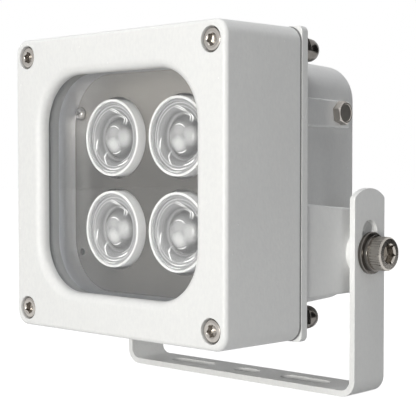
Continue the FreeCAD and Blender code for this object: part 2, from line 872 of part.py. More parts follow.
def make_rear_housing():
    body = new_body("rear_housing")
    plate = new_sketch(body, "flange_outline")
    draw_square(plate, d.flange_size / 2, d.flange_corner)
    pad(body, "flange", plate, d.flange_thickness)
    wall = new_sketch(body, "box_front_outline", d.flange_thickness)
    draw_square(wall, d.box_front / 2, d.box_corner)
    block = pad(body, "box_block", wall, d.box_length)
    taper(block, (d.box_rear - d.box_front) / 2, d.box_length)
    doc.recompute()
    rear = d.flange_thickness + d.box_length
    dress(body, "box_edge_round", "Fillet", block, edges_where(block, at_height(rear)), d.box_edge)

    # the side lugs, in one bar that the hollow is then cut from
    lug_rear = d.flange_thickness + d.lug_length
    lug = new_sketch(body, "lug_outline", role="YZ_Plane")
    draw_polygon(lug, [(d.lug_top_front, d.flange_thickness), (d.lug_top_rear, lug_rear),
                       (d.lug_bottom, lug_rear), (d.lug_bottom, d.flange_thickness)])
    lugs = pad(body, "lugs", lug, d.lug_face * 2, midplane=True)
    doc.recompute()
    faces = edges_where(lugs, lambda box: near(abs(box.XMin), d.lug_face)
                        and near(abs(box.XMax), d.lug_face) and box.ZMax > number(d.flange_thickness) + 1)
    dress(body, "lug_edges", "Fillet", lugs, faces, d.lug_edge)
    pivot_point = (d.pivot_drop, d.pivot_depth - flange_front)
    raised = new_sketch(body, "lug_boss_outline", role="YZ_Plane")
    draw_circles(raised, [pivot_point], d.lug_boss_radius)
    pad(body, "lug_bosses", raised, pivot_face * 2, midplane=True)

    boss_rear = d.flange_thickness + d.boss_length
    boss = new_sketch(body, "boss_outline", role="YZ_Plane")
    draw_polygon(boss, [(-d.boss_top, d.flange_thickness), (d.boss_taper - d.boss_top, boss_rear),
                        (-d.boss_bottom, boss_rear), (-d.boss_bottom, d.flange_thickness)])
    bar = pad(body, "side_boss", boss, d.boss_face)
    doc.recompute()
    faces = edges_where(bar, lambda box: near(box.XMin, d.boss_face) and near(box.XMax, d.boss_face)
                        and box.YMax < 0 and box.ZMax > number(d.flange_thickness) + 1)
    dress(body, "boss_edges", "Fillet", bar, faces, d.boss_edge)

    hollow = new_sketch(body, "chamber_outline")
    draw_square(hollow, d.cavity_size / 2, d.cavity_corner)
    pocket(body, "chamber", hollow, rear - d.rear_wall)
    holes = new_sketch(body, "flange_hole_outline")
    draw_circles(holes, [(bolt_half * sx, bolt_half * sy) for sx, sy in CORNERS], hole_radius)
    pocket(body, "flange_holes", holes, d.flange_thickness)
    half = d.spreader_screw_pitch / 2
    tapped = new_sketch(body, "tapped_outline")
    draw_circles(tapped, [(half * sx, half * sy) for sx, sy in CORNERS],
                 d.spreader_screw_radius + d.thread_gap)
    pocket(body, "tapped_holes", tapped, d.spreader_screw_length - d.spreader_thickness + 1.0)
    entry = new_sketch(body, "gland_outline", rear - d.rear_wall)
    draw_circles(entry, [(ZERO, ZERO)], d.gland_radius + d.thread_gap)
    pocket(body, "gland_hole", entry, d.rear_wall)

    posts = new_sketch(body, "driver_post_outline", rear - d.rear_wall - d.driver_gap)
    draw_circles(posts, [driver_hole(*signs) for signs in CORNERS], d.driver_post_radius)
    pad(body, "driver_posts", posts, d.driver_gap + d.rear_wall / 2)
    screwed = new_sketch(body, "driver_tapped_outline", rear - d.rear_wall - d.driver_gap)
    draw_circles(screwed, [driver_hole(*signs) for signs in CORNERS], d.small_screw_radius + d.thread_gap)
    pocket(body, "driver_tapped_holes", screwed, d.small_screw_length + d.hole_spare)

    bolt_point = (-d.side_bolt_height, d.side_bolt_depth - flange_front)
    for side, name in ((1, "right"), (-1, "left")):
        drill_side(body, name + "_pivot", pivot_point, d.pivot_bolt_radius, pivot_face * side,
                   d.pivot_grip + d.hole_spare)
    drill_side(body, "side_bolt", bolt_point, d.side_bolt_radius, d.boss_face,
               d.side_bolt_length + d.hole_spare)
    place_in_lamp(body, flange_front)
    return body


def drill_side(body, name, point, radius, face, depth):
    """A blind threaded hole into one side of the casting."""
    sketch = new_sketch(body, name + "_outline", face, role="YZ_Plane")
    draw_circles(sketch, [point], radius + d.thread_gap)
    hole = pocket(body, name + "_hole", sketch, depth)
    hole.Reversed = number(face) < 0


# Fasteners of the lamp head

def make_corner_bolts():
    bolts = []
    for index, (sx, sy) in enumerate(CORNERS, start=1):
        bolt = socket_screw("corner_bolt_%d" % index, d.bolt_head_radius, d.bolt_head_height,
                            d.bolt_radius, bolt_length, d.bolt_socket, d.bolt_socket_depth)
        place_in_lamp(bolt, d.bolt_recess, bolt_half * sx, bolt_half * sy)
        bolts.append(bolt)
    return group("corner_bolts", bolts)


def make_corner_washers():
    washers = []
    for index, (sx, sy) in enumerate(CORNERS, start=1):
        disc = washer("corner_washer_%d" % index, d.bolt_washer_radius, hole_radius, d.bolt_washer)
        place_in_lamp(disc, flange_rear, bolt_half * sx, bolt_half * sy)
        washers.append(disc)
    return group("corner_washers", washers)


def make_dome_nuts():
    nuts = []
    for index, (sx, sy) in enumerate(CORNERS, start=1):
        name = "dome_nut_%d" % index
        foot = hexagon(name + "_hexagon", d.nut_flats, d.nut_hex_height)
        limit = doc.addObject("Part::Cone", name + "_bevel")
        bind(limit, Radius1=d.nut_flats / 2 + d.nut_hex_height * 1.2, Radius2=d.nut_flats / 2,
             Height=d.nut_hex_height)
        body = cylinder(name + "_body", d.nut_dome_radius, d.nut_height - d.nut_dome_radius)
        ball = doc.addObject("Part::Sphere", name + "_ball")
        bind(ball, Radius=d.nut_dome_radius)
        set_offset(ball, ZERO, ZERO, d.nut_height - d.nut_dome_radius)
        blank = fuse(name + "_blank", common(name + "_foot", foot, limit), body, ball)
        bore = cylinder(name + "_bore", d.bolt_radius + d.thread_gap, d.nut_bore_depth)
        nut = cut(name, blank, bore)
        place_in_lamp(nut, flange_rear + d.bolt_washer, bolt_half * sx, bolt_half * sy)
        nuts.append(nut)
    return group("dome_nuts", nuts)


def sideways(side):
    """Turn a piece so that its local Z points out of the lamp's side."""
    return FreeCAD.Rotation(V(0, 1, 0), 90 * side)


def make_side_bolt():
    cone = doc.addObject("Part::Cone", "side_bolt_bevel")
    bind(cone, Radius1=d.side_bolt_flats / 2 + d.side_bolt_head * 1.6,
         Radius2=d.side_bolt_flats / 2, Height=d.side_bolt_head)
    hexagonal = hexagon("side_bolt_hexagon", d.side_bolt_flats, d.side_bolt_head)
    shank = cylinder("side_bolt_shank", d.side_bolt_radius, d.side_bolt_length, z=-d.side_bolt_length)
    bolt = fuse("side_bolt", common("side_bolt_head", hexagonal, cone), shank)
    place(bolt, d.boss_face, d.side_bolt_depth - d.pivot_depth, lamp_height + d.side_bolt_height, sideways(1))
    return bolt


# Bracket, pivot bolts and washers

def make_bracket():
    body = new_body("mounting_bracket")
    outline = new_sketch(body, "bracket_profile", role="XZ_Plane")
    draw_bracket_profile(outline)
    pad(body, "bracket_bar", outline, d.bar_width, midplane=True)
    ends = new_sketch(body, "arm_end_outline", role="YZ_Plane")
    draw_arm_end(ends)
    topped = pocket(body, "arm_ends", ends, arm_outer * 2 + 2.0, midplane=True)
    doc.recompute()
    shoulders = edges_where(topped, lambda box: near(abs(box.YMin), d.bar_width / 2) and near(box.YMin, box.YMax)
                            and near(box.ZMin, box.ZMax) and box.ZMin > number(d.pivot_height))
    dress(body, "arm_shoulders", "Fillet", topped, shoulders, d.arm_end_edge)
    slots = new_sketch(body, "arm_slot_outline", role="YZ_Plane")
    draw_slot(slots, ZERO, d.pivot_height + d.height_travel / 2, d.height_travel + d.arm_slot_width,
              d.arm_slot_width, upright=True)
    pocket(body, "arm_slots", slots, arm_outer * 2 + 2.0, midplane=True)
    base = new_sketch(body, "base_slot_outline")
    for side in (-1, 1):
        draw_slot(base, d.base_slot_pitch / 2 * side, ZERO, d.base_slot_length, d.base_slot_width)
    draw_slot(base, ZERO, ZERO, d.centre_slot_length, d.base_slot_width)
    pocket(body, "base_slots", base, d.bar_thickness)
    place(body, ZERO, ZERO, ZERO)
    return body


def draw_bracket_profile(sketch):
    """The bar's edge: outer U with its bends, then the inner U back to the start."""
    outer, inner = number(arm_outer), number(arm_inner)
    top, thick = number(d.arm_height), number(d.bar_thickness)
    bend_in = number(d.bend_radius)
    bend_out = bend_in + thick
    rise = thick + bend_in
    line, arc = [], []

    def add_line(x1, y1, x2, y2):
        line.append(sketch.addGeometry(Part.LineSegment(V(x1, y1, 0), V(x2, y2, 0))))

    def add_arc(cx, cy, r, start):
        circle = Part.Circle(V(cx, cy, 0), V(0, 0, 1), r)
        arc.append(sketch.addGeometry(Part.ArcOfCircle(circle, math.radians(start), math.radians(start + 90))))

    add_line(-outer, top, -outer, rise)
    add_arc(-outer + bend_out, rise, bend_out, 180)
    add_line(-outer + bend_out, 0, outer - bend_out, 0)
    add_arc(outer - bend_out, rise, bend_out, 270)
    add_line(outer, rise, outer, top)
    add_line(outer, top, inner, top)
    add_line(inner, top, inner, rise)
    add_arc(inner - bend_in, rise, bend_in, 270)
    add_line(inner - bend_in, thick, -inner + bend_in, thick)
    add_arc(-inner + bend_in, rise, bend_in, 180)
    add_line(-inner, rise, -inner, top)
    add_line(-inner, top, -outer, top)
    smooth = [(line[0], 2, arc[0], 1), (arc[0], 2, line[1], 1), (line[1], 2, arc[1], 1),
              (arc[1], 2, line[2], 1), (line[4], 2, arc[2], 2), (arc[2], 1, line[5], 1),
              (line[5], 2, arc[3], 2), (arc[3], 1, line[6], 1)]
    for join in smooth:
        sketch.addConstraint(Sketcher.Constraint("Tangent", *join))
    sharp = [(line[2], 2, line[3], 1), (line[3], 2, line[4], 1), (line[6], 2, line[7], 1),
             (line[7], 2, line[0], 1)]
    for join in sharp:
        sketch.addConstraint(Sketcher.Constraint("Coincident", *join))
    for item in (line[0], line[2], line[4], line[6]):
        sketch.addConstraint(Sketcher.Constraint("Vertical", item))
    for item in (line[1], line[3], line[5], line[7]):
        sketch.addConstraint(Sketcher.Constraint("Horizontal", item))
    sketch.addConstraint(Sketcher.Constraint("PointOnObject", line[1], 1, -1))
    sketch.addConstraint(Sketcher.Constraint("Equal", arc[0], arc[1]))
    sketch.addConstraint(Sketcher.Constraint("Equal", arc[2], arc[3]))
    tie(sketch, "Radius", arc[0], size=d.bend_radius + d.bar_thickness)
    tie(sketch, "Radius", arc[2], size=d.bend_radius)
    tie(sketch, "DistanceX", line[0], 1, -1, 1, size=arm_outer)
    tie(sketch, "DistanceX", -1, 1, line[2], 2, size=arm_outer)
    tie(sketch, "DistanceX", line[6], 2, -1, 1, size=arm_inner)
    tie(sketch, "DistanceX", -1, 1, line[4], 1, size=arm_inner)
    tie(sketch, "DistanceY", -1, 1, line[2], 2, size=d.arm_height)
    tie(sketch, "DistanceY", -1, 1, line[7], 1, size=d.arm_height)
    tie(sketch, "DistanceY", -1, 1, line[5], 1, size=d.bar_thickness)


def draw_arm_end(sketch):
    """What is cut away above the curved end of an arm."""
    reach = d.bar_width / 2 + d.hole_spare
    lid = d.arm_height + d.hole_spare
    rise = d.arm_height - d.arm_end_radius
    r, zc, half = number(d.arm_end_radius), number(rise), number(reach)
    shoulder = zc + math.sqrt(r * r - half * half)
    start = math.atan2(shoulder - zc, half)
    circle = Part.Circle(V(0, zc, 0), V(0, 0, 1), r)
    arc = sketch.addGeometry(Part.ArcOfCircle(circle, start, math.pi - start))
    points = [(-half, shoulder), (-half, number(lid)), (half, number(lid)), (half, shoulder)]
    lines = [sketch.addGeometry(Part.LineSegment(V(*begin, 0), V(*end, 0)))
             for begin, end in zip(points, points[1:])]
    chain = [(arc, 2, lines[0], 1), (lines[0], 2, lines[1], 1), (lines[1], 2, lines[2], 1),
             (lines[2], 2, arc, 1)]
    for join in chain:
        sketch.addConstraint(Sketcher.Constraint("Coincident", *join))
    for index, kind in enumerate(("Vertical", "Horizontal", "Vertical")):
        sketch.addConstraint(Sketcher.Constraint(kind, lines[index]))
    sketch.addConstraint(Sketcher.Constraint("PointOnObject", arc, 3, -2))
    tie(sketch, "Radius", arc, size=d.arm_end_radius)
    tie(sketch, "DistanceY", -1, 1, arc, 3, size=rise)
    tie(sketch, "DistanceX", lines[0], 1, -1, 1, size=reach)
    tie(sketch, "DistanceX", -1, 1, lines[2], 1, size=reach)
    tie(sketch, "DistanceY", -1, 1, lines[1], 1, size=lid)


def make_pivot_washers():
    washers = []
    for index, side in enumerate((1, -1), start=1):
        disc = washer("pivot_washer_%d" % index, d.flat_washer_radius,
                      d.pivot_bolt_radius + d.washer_gap, d.flat_washer)
        place(disc, arm_outer * side, ZERO, d.pivot_height, sideways(side))
        washers.append(disc)
    return group("pivot_washers", washers)


def make_spring_washers():
    washers = []
    for index, side in enumerate((1, -1), start=1):
        name = "spring_washer_%d" % index
        disc = washer(name + "_ring", d.spring_washer_radius, d.pivot_bolt_radius + d.washer_gap,
                      d.spring_washer)
        split = brick(name + "_gap", d.spring_washer_gap, d.spring_washer_radius, d.spring_washer,
                    y=d.spring_washer_radius / 2)
        split_washer = cut(name, disc, split)
        place(split_washer, (arm_outer + d.flat_washer) * side, ZERO, d.pivot_height, sideways(side))
        washers.append(split_washer)
    return group("spring_washers", washers)


def make_pivot_bolts():
    """Socket head bolts through the arms' slots into the side lugs."""
    bolts = []
    for index, side in enumerate((1, -1), start=1):
        name = "pivot_bolt_%d" % index
        stack = d.flat_washer + d.spring_washer
        shank_length = stack + d.bar_thickness + d.arm_gap + d.pivot_grip
        shank = cylinder(name + "_shank", d.pivot_bolt_radius, shank_length, z=-shank_length)
        head = cylinder(name + "_head", d.pivot_head_radius, d.pivot_head_height - d.pivot_head_edge)
        crown = doc.addObject("Part::Cone", name + "_crown")
        bind(crown, Radius1=d.pivot_head_radius, Radius2=d.pivot_head_radius - d.pivot_head_edge,
             Height=d.pivot_head_edge)
        set_offset(crown, ZERO, ZERO, d.pivot_head_height - d.pivot_head_edge)
        key = hexagon(name + "_socket", d.pivot_socket, d.pivot_socket_depth,
                      z=d.pivot_head_height - d.pivot_socket_depth)
        bolt = cut(name, fuse(name + "_blank", shank, head, crown), key)
        place(bolt, (arm_outer + stack) * side, ZERO, d.pivot_height, sideways(side))
        bolts.append(bolt)
    return group("pivot_bolts", bolts)


# Cable gland, on the lamp's axis in the rear wall

def make_gland():
    hex_front = d.gland_washer
    tube = cylinder("gland_tube", d.gland_radius, d.gland_thread + d.gland_washer, z=-d.gland_thread)
    collar = hexagon("gland_collar", d.gland_flats, d.gland_hex, z=hex_front)
    neck = cylinder("gland_neck", d.gland_neck_radius, d.gland_neck, z=hex_front + d.gland_hex)
    bore = cylinder("gland_bore", d.gland_bore, d.gland_thread + d.gland_washer + d.gland_hex + d.gland_neck,
                    z=-d.gland_thread)
    body = cut("gland_body", fuse("gland_blank", tube, collar, neck), bore)
    body.Label = "gland_body"
    place_in_lamp(body, box_rear_face)

    face_seal = washer("gland_washer", d.gland_flats / 2 - 0.5, d.gland_radius + d.thread_gap, d.gland_washer)
    face_seal.Label = "gland_washer"
    place_in_lamp(face_seal, box_rear_face)

    locknut = cut("gland_locknut", hexagon("locknut_hexagon", d.locknut_flats, d.locknut),
                  cylinder("locknut_bore", d.gland_radius + d.thread_gap, d.locknut))
    locknut.Label = "gland_locknut"
    place_in_lamp(locknut, chamber_rear - d.locknut)

    neck_end = box_rear_face + d.gland_washer + d.gland_hex + d.gland_neck
    seal = washer("gland_seal", d.gland_bore - d.thread_gap, d.gland_seal_bore, d.gland_seal_length)
    seal.Label = "gland_seal"
    place_in_lamp(seal, neck_end - d.gland_seal_length)

    wall = d.gland_cap_length - d.gland_neck
    skin = hexagon("cap_hexagon", d.gland_flats - 2.0, d.gland_neck)
    nose = doc.addObject("Part::Cone", "cap_nose")
    bind(nose, Radius1=d.gland_flats / 2 - 1.0, Radius2=d.gland_cap_bore + 1.5, Height=wall)
    set_offset(nose, ZERO, ZERO, d.gland_neck)
    socket = cylinder("cap_socket", d.gland_neck_radius + d.thread_gap, d.gland_neck)
    mouth = cylinder("cap_mouth", d.gland_cap_bore, d.gland_cap_length)
    cap = cut("gland_cap", fuse("cap_blank", skin, nose), fuse("cap_hollow", socket, mouth))
    cap.Label = "gland_cap"
    place_in_lamp(cap, neck_end - d.gland_neck)
    return [body, face_seal, locknut, seal, cap]


# Driver in the rear chamber

def driver_hole(sx, sy):
    return d.driver_screw_x * sx, d.driver_screw_z * sy


def make_driver_board():
    body = new_body("driver_board")
    outline = new_sketch(body, "driver_outline")
    draw_rounded(outline, d.driver_width / 2, d.driver_height / 2, d.board_corner)
    pad(body, "driver_sheet", outline, d.driver_thickness)
    drilled = new_sketch(body, "driver_openings")
    draw_circles(drilled, [driver_hole(*signs) for signs in CORNERS], d.small_screw_radius + d.hole_gap)
    pocket(body, "driver_holes", drilled, d.driver_thickness)
    place_in_lamp(body, driver_front)
    return body


def make_transformer():
    """A ferrite bridge over its winding, both standing on the driver board."""
    width = d.core_width - d.core_limb * 2
    depth = d.core_depth - d.core_limb
    frame = brick("core_frame", d.core_width, d.core_height, d.core_depth)
    window = brick("core_window", width, d.core_height, depth, z=d.core_limb)
    core = cut("transformer_core", frame, window)
    place_in_lamp(core, driver_front - d.core_depth, d.transformer_x, d.transformer_down)
    winding = brick("winding_block", width - d.winding_gap * 2, d.winding_height, depth - d.winding_gap)
    wrapped = fuse("transformer_winding", winding, cylinder("winding_lead", d.lead_radius, d.hole_spare))
    place_in_lamp(wrapped, driver_front - depth + d.winding_gap, d.transformer_x, d.transformer_down)
    return [core, wrapped]


def size_of(label, end):
    return getattr(d, label + "_" + end)


def make_blocks():
    made = []
    for label in ("filter_choke", "terminal_block"):
        depth = size_of(label, "depth")
        body = new_body(label)
        outline = new_sketch(body, label + "_outline")
        draw_rounded(outline, size_of(label, "width") / 2, size_of(label, "height") / 2, d.hole_spare)
        pad(body, label + "_case", outline, depth)
        place_in_lamp(body, driver_front - depth, size_of(label, "x"), size_of(label, "down"))
        made.append(body)
    return made


def make_capacitors():
    made = []
    for label in ("bulk_capacitor", "output_capacitor"):
        length = size_of(label, "length")
        radius = size_of(label, "radius")
        edge = d.hole_spare
        can = turned(label, [(ZERO, ZERO), (radius - edge, ZERO), (radius, edge), (radius, length), (ZERO, length)])
        place_in_lamp(can, driver_front - length, size_of(label, "x"), size_of(label, "down"))
        made.append(can)
    return made


def make_driver_screws():
    screws = []
    for index, signs in enumerate(CORNERS, start=1):
        screw = small_screw("driver_screw_%d" % index)
        x, down = driver_hole(*signs)
        place_in_lamp(screw, driver_front - d.small_screw_head_height, x, down)
        screws.append(screw)
    return group("driver_screws", screws)


def build():
    made = [make_front_housing(), make_glass(), make_glass_seal(), make_clamp_frame(), make_lens_plate(),
            make_plate_screws(), make_standoffs()]
    for index, signs in enumerate(LENS_SIGNS, start=1):
        made += [make_holder(index, signs), make_lens(index, signs), make_emitter(index, signs)]
    made += [make_led_board(), make_board_screws(), make_heat_spreader(), make_spreader_screws(),
             make_leads(), make_gasket(), make_rear_housing(), make_corner_bolts(), make_corner_washers(),
             make_dome_nuts(), make_side_bolt(), make_bracket(), make_pivot_washers(),
             make_spring_washers(), make_pivot_bolts(), make_driver_board(), make_driver_screws()]
    return made + make_transformer() + make_blocks() + make_capacitors() + make_gland()


def check(made):
    doc.recompute()
    for item in doc.Objects:
        if "Invalid" in item.State or "Error" in item.State:
            raise RuntimeError("%s failed: %s" % (item.Label, item.State))
    for node in made:
        if node.Shape.isNull() or not node.Shape.isValid():
            raise RuntimeError("%s has no valid shape" % node.Label)


def export(made):
    os.makedirs("parts", exist_ok=True)
    for node in made:
        node.Shape.exportStep("parts/%s.step" % node.Label)
        box = node.Shape.BoundBox
        print("%-20s %2d solids %9.1f mm3  X %6.1f %6.1f  Y %6.1f %6.1f  Z %6.1f %6.1f" % (
            node.Label, len(node.Shape.Solids), node.Shape.Volume, box.XMin, box.XMax,
            box.YMin, box.YMax, box.ZMin, box.ZMax))


nodes = build()
check(nodes)
export(nodes)
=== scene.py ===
import json
import math

import bmesh
import bpy
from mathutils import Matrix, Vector

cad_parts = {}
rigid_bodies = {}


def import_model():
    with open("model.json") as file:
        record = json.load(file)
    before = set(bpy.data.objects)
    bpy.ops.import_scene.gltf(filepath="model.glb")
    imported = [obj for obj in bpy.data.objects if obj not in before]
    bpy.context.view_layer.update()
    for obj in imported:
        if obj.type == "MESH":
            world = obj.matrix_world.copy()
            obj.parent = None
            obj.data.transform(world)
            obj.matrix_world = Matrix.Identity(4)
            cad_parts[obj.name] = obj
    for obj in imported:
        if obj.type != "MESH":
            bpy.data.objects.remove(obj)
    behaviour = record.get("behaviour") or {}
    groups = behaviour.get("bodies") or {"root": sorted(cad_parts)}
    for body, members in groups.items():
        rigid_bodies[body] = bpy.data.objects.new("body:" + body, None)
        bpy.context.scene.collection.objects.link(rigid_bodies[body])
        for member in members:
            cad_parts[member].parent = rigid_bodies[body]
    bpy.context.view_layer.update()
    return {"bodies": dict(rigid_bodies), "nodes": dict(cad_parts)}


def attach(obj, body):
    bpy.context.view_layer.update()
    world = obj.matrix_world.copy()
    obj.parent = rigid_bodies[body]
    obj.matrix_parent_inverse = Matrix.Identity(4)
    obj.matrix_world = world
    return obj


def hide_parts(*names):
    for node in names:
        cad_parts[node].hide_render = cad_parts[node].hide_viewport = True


# %% [markdown]
# # White light illuminator
# A square die-cast lamp head with four lensed LEDs behind glass, held between the arms of a
# flat-bar bracket. The solid model is packed already, with every size and place in it, so this
# lesson only dresses it: every piece gets its turned, pressed or cast shape and its real finish.
# The lamp looks along -Y, +Z is up, and +X is the pivot axis.

# %% Load the fixed frame
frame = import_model()
nodes = frame["nodes"]
MM = 0.001
# Heights of the lamp's middle and of the pivot axis, in millimetres.
LAMP_Z = 100.0
PIVOT_Z = 67.5
# Half the distance between two corner bolts, and between two lenses, in millimetres.
BOLT_HALF = 61.4
LENS_HALF = 22.0
print("nodes in the frame:", len(nodes))

# %% [markdown]
# ## The camera
# The view is the one that an eye has a little in front of the lamp's right corner. The camera's
# place, turn and lens were worked out from the corners of the castings, the lens circles and the
# bracket's edges. A long lens with a narrow view gives the same gentle perspective as the picture.

# %% Stand the camera
# Metres, then degrees below level and degrees round from +Y, then pixels, pixels and millimetres.
CAMERA_AT = (0.39268, -0.45087, 0.10788)
CAMERA_DOWN, CAMERA_ROUND = 2.02, 42.987
FOCAL_PIXELS, IMAGE_SIDE, SENSOR = 1160.67, 416, 36
camera_data = bpy.data.cameras.new("camera")
camera_data.sensor_width = SENSOR
camera_data.lens = FOCAL_PIXELS / IMAGE_SIDE * SENSOR
camera = bpy.data.objects.new("camera", camera_data)
camera.location = CAMERA_AT
camera.rotation_euler = (math.radians(90 - CAMERA_DOWN), 0, math.radians(CAMERA_ROUND))
bpy.context.scene.collection.objects.link(camera)
bpy.context.scene.camera = camera
bpy.context.scene.view_settings.view_transform = "Standard"
print("lens", round(camera_data.lens, 2), "mm")

# %% [markdown]
# ## Fields, in place of wires
# Both material and geometry trees are sums written with boxes and wires. Wiring each box by hand
# hides the sum, so a Field stands for one value in a tree, and adding or multiplying two Fields
# adds the Math node that does it.

# %% A value in a node tree


class Field:
    """One output socket of a node tree, with arithmetic that adds Math nodes."""

    def __init__(self, wires, socket):
        self.wires, self.socket = wires, socket

    def math(self, operation, *others):
        return self.wires.value("ShaderNodeMath", self, *others, operation=operation)

    def __neg__(self):
        return self.math("MULTIPLY", -1.0)

    def __add__(self, other):
        return self.math("ADD", other)

    def __sub__(self, other):
        return self.math("SUBTRACT", other)

    def __mul__(self, other):
        return self.math("MULTIPLY", other)

    def __truediv__(self, other):
        return self.math("DIVIDE", other)

    def __mod__(self, other):
        return self.math("FLOORED_MODULO", other)


class Wires:
    """Adds nodes to one tree and feeds them."""

    def __init__(self, tree):
        self.tree = tree

    def node(self, kind, *inputs, **settings):
        made = self.tree.nodes.new(kind)
        for name, setting in settings.items():
            setattr(made, name, setting)
        for index, item in enumerate(inputs):
            self.feed(made.inputs[index], item)
        return made

    def feed(self, socket, item):
        if isinstance(item, Field):
            item = item.socket
        if isinstance(item, bpy.types.NodeSocket):
            self.tree.links.new(item, socket)
        elif item is not None:
            socket.default_value = item

    def value(self, kind, *inputs, output=0, **settings):
        return Field(self, self.node(kind, *inputs, **settings).outputs[output])


print("made the helpers", Field.__name__, "and", Wires.__name__)

# %% [markdown]
# ## Finishes
# Paint, steel and rubber differ in colour, gloss and in the small marks of how they were made.
# Each finish is one shader whose colour, roughness and relief come from patterns in the piece's
# own coordinates, in metres, so a pattern keeps its real size and stays on the piece when it moves.

# %% A finish made of patterns
# A Mix node has a set of sockets for each kind of value. These are the ones for colours.
MIX_SHARE, MIX_FIRST, MIX_SECOND, MIX_RESULT = 0, 6, 7, 2
BROAD_SHARE, FINE_SHARE = 0.6, 0.4


class Finish:
    """A material with patterns in the piece's own coordinates."""

    def __init__(self, name, roughness, metallic=0.0, **fixed):
        self.material = bpy.data.materials.new(name)
        self.material.use_nodes = True
        self.wires = Wires(self.material.node_tree)
        self.shader = self.material.node_tree.nodes["Principled BSDF"]
        self.shader.inputs["Metallic"].default_value = metallic
        self.shader.inputs["Roughness"].default_value = roughness
        for label, setting in fixed.items():
            self.shader.inputs[label.replace("_", " ")].default_value = setting
        self.where = self.wires.value("ShaderNodeTexCoord", output="Object")

    def place(self, stretch=(1, 1, 1)):
        mapping = self.wires.node("ShaderNodeMapping", self.where)
        mapping.inputs["Scale"].default_value = stretch
        return mapping.outputs["Vector"]

    def noise(self, size, stretch=(1, 1, 1), detail=2.0, roughness=0.5):
        """Soft blotches about size millimetres wide, from 0 to 1."""
        node = self.wires.node("ShaderNodeTexNoise", self.place(stretch))
        node.inputs["Scale"].default_value = 1.0 / (size * MM)
        node.inputs["Detail"].default_value = detail
        node.inputs["Roughness"].default_value = roughness
        return Field(self.wires, node.outputs["Fac"])

    def specks(self, spacing, share):
        """1 in the middle of small dots that stand about spacing millimetres apart, 0 between
        them. A dot's radius is a share of the spacing, and its outer half fades."""
        node = self.wires.node("ShaderNodeTexVoronoi", self.place())
        node.inputs["Scale"].default_value = 1.0 / (spacing * MM)
        return self.between(Field(self.wires, node.outputs["Distance"]), share, share * 0.5)

    def between(self, field, low, high, to_low=0.0, to_high=1.0):
        """The field spread from low..high to to_low..to_high, and held at the ends."""
        return self.wires.value("ShaderNodeMapRange", field, low, high, to_low, to_high)

    def mottle(self, broad, fine):
        """A broad and a fine pattern in one."""
        return broad * BROAD_SHARE + fine * FINE_SHARE

    def blend(self, share, first, second):
        """The second colour over the first by share."""
        node = self.wires.node("ShaderNodeMix", data_type="RGBA")
        for index, item in ((MIX_SHARE, share), (MIX_FIRST, first), (MIX_SECOND, second)):
            self.wires.feed(node.inputs[index], item)
        return node.outputs[MIX_RESULT]

    def colour(self, item):
        self.wires.feed(self.shader.inputs["Base Color"], item)

    def gloss(self, field):
        self.wires.feed(self.shader.inputs["Roughness"], field)

    def relief(self, field, depth):
        """Bumps of depth millimetres where the field is 1."""
        bump = self.wires.node("ShaderNodeBump")
        bump.inputs["Distance"].default_value = depth * MM
        bump.inputs["Strength"].default_value = 1.0
        self.wires.feed(bump.inputs["Height"], field)
        self.wires.feed(self.shader.inputs["Normal"], bump.outputs["Normal"])


def tint(red, green, blue):
    return (red, green, blue, 1.0)


def grey(level, blue=0.0):
    """A grey whose blue part may lie a little above or below the rest."""
    return tint(level, level, level + blue)


FINISHES = {}
print("made the helper", Finish.__name__)

# %% [markdown]
# ## White powder coat
# The castings and the bracket are sprayed with powder that melts into a satin skin. It flows into
# a fine orange peel about a millimetre across with faint darker streaks in it, and here and there a
# grain stays proud as a speck, whose glint is painted in as a whiter dot.

# %% Powder coat on castings and on steel bar
CLOUD_SIZE, STREAK_SIZE = 26.0, 1.2
STREAK_SHARE = 0.4
GRAIN_SPACING, GRAIN_SHARE = 9.0, 0.06


def powder_coat(name, peel, depth, roughness, shine, white):
    """Peel and depth are the width and the height of the orange peel in millimetres."""
    coat = Finish(name, roughness, Specular_IOR_Level=shine)
    cloud = coat.noise(CLOUD_SIZE, detail=3.0)
    fine = coat.noise(STREAK_SIZE, stretch=(1, 1, 0.5))
    grain = coat.specks(GRAIN_SPACING, GRAIN_SHARE)
    base = coat.blend(cloud, grey(white - 0.02, -0.005), grey(white + 0.02, -0.01))
    streaks = coat.between(fine, 0.36, 0.64) * STREAK_SHARE
    base = coat.blend(streaks, base, grey(white - 0.07, 0.005))
    # Painted highlight: each proud grain is painted almost white for its glint, over its real bump.
    coat.colour(coat.blend(grain, base, grey(0.99, -0.01)))
    coat.gloss(coat.between(cloud, 0.3, 0.7, roughness - 0.05, roughness + 0.05))
    skin = coat.noise(peel, detail=1.0) + fine * 0.25 + grain * 2.0
    coat.relief(skin, depth)
    FINISHES[name] = coat.material


powder_coat("white_casting", peel=1.5, depth=0.055, roughness=0.42, shine=0.4, white=0.885)
# The bracket's white is painted a little lighter than the castings', as painted light on its lit front
# edges.
powder_coat("white_steel", peel=1.1, depth=0.035, roughness=0.55, shine=0.2, white=0.95)
print("powder coats:", sorted(FINISHES))

# %% [markdown]
# ## Stainless fasteners
# Screws and washers are plain stainless steel. They are never evenly bright: handling leaves faint
# darker clouds, and turning leaves fine marks, which change the gloss more than the colour. The
# dome nuts and the pivot's washers get a darker copy of the same steel, painted shade for the dark
# that they mirror, and the bolt in the side boss is the dullest.

# %% Stainless steel
HANDLED_SIZE, MARK_SIZE, MARK_DEPTH = 3.0, 0.35, 0.006


def stainless(name, light, dark, roughness):
    steel = Finish(name, roughness, metallic=1.0)
    cloud = steel.noise(HANDLED_SIZE, detail=3.0)
    marks = steel.noise(MARK_SIZE, stretch=(1, 1, 3.0))
    steel.colour(steel.blend(steel.mottle(cloud, marks), light, dark))
    steel.gloss(steel.between(marks, 0.25, 0.75, roughness * 0.8, roughness * 1.35))
    steel.relief(marks, MARK_DEPTH)
    FINISHES[name] = steel.material


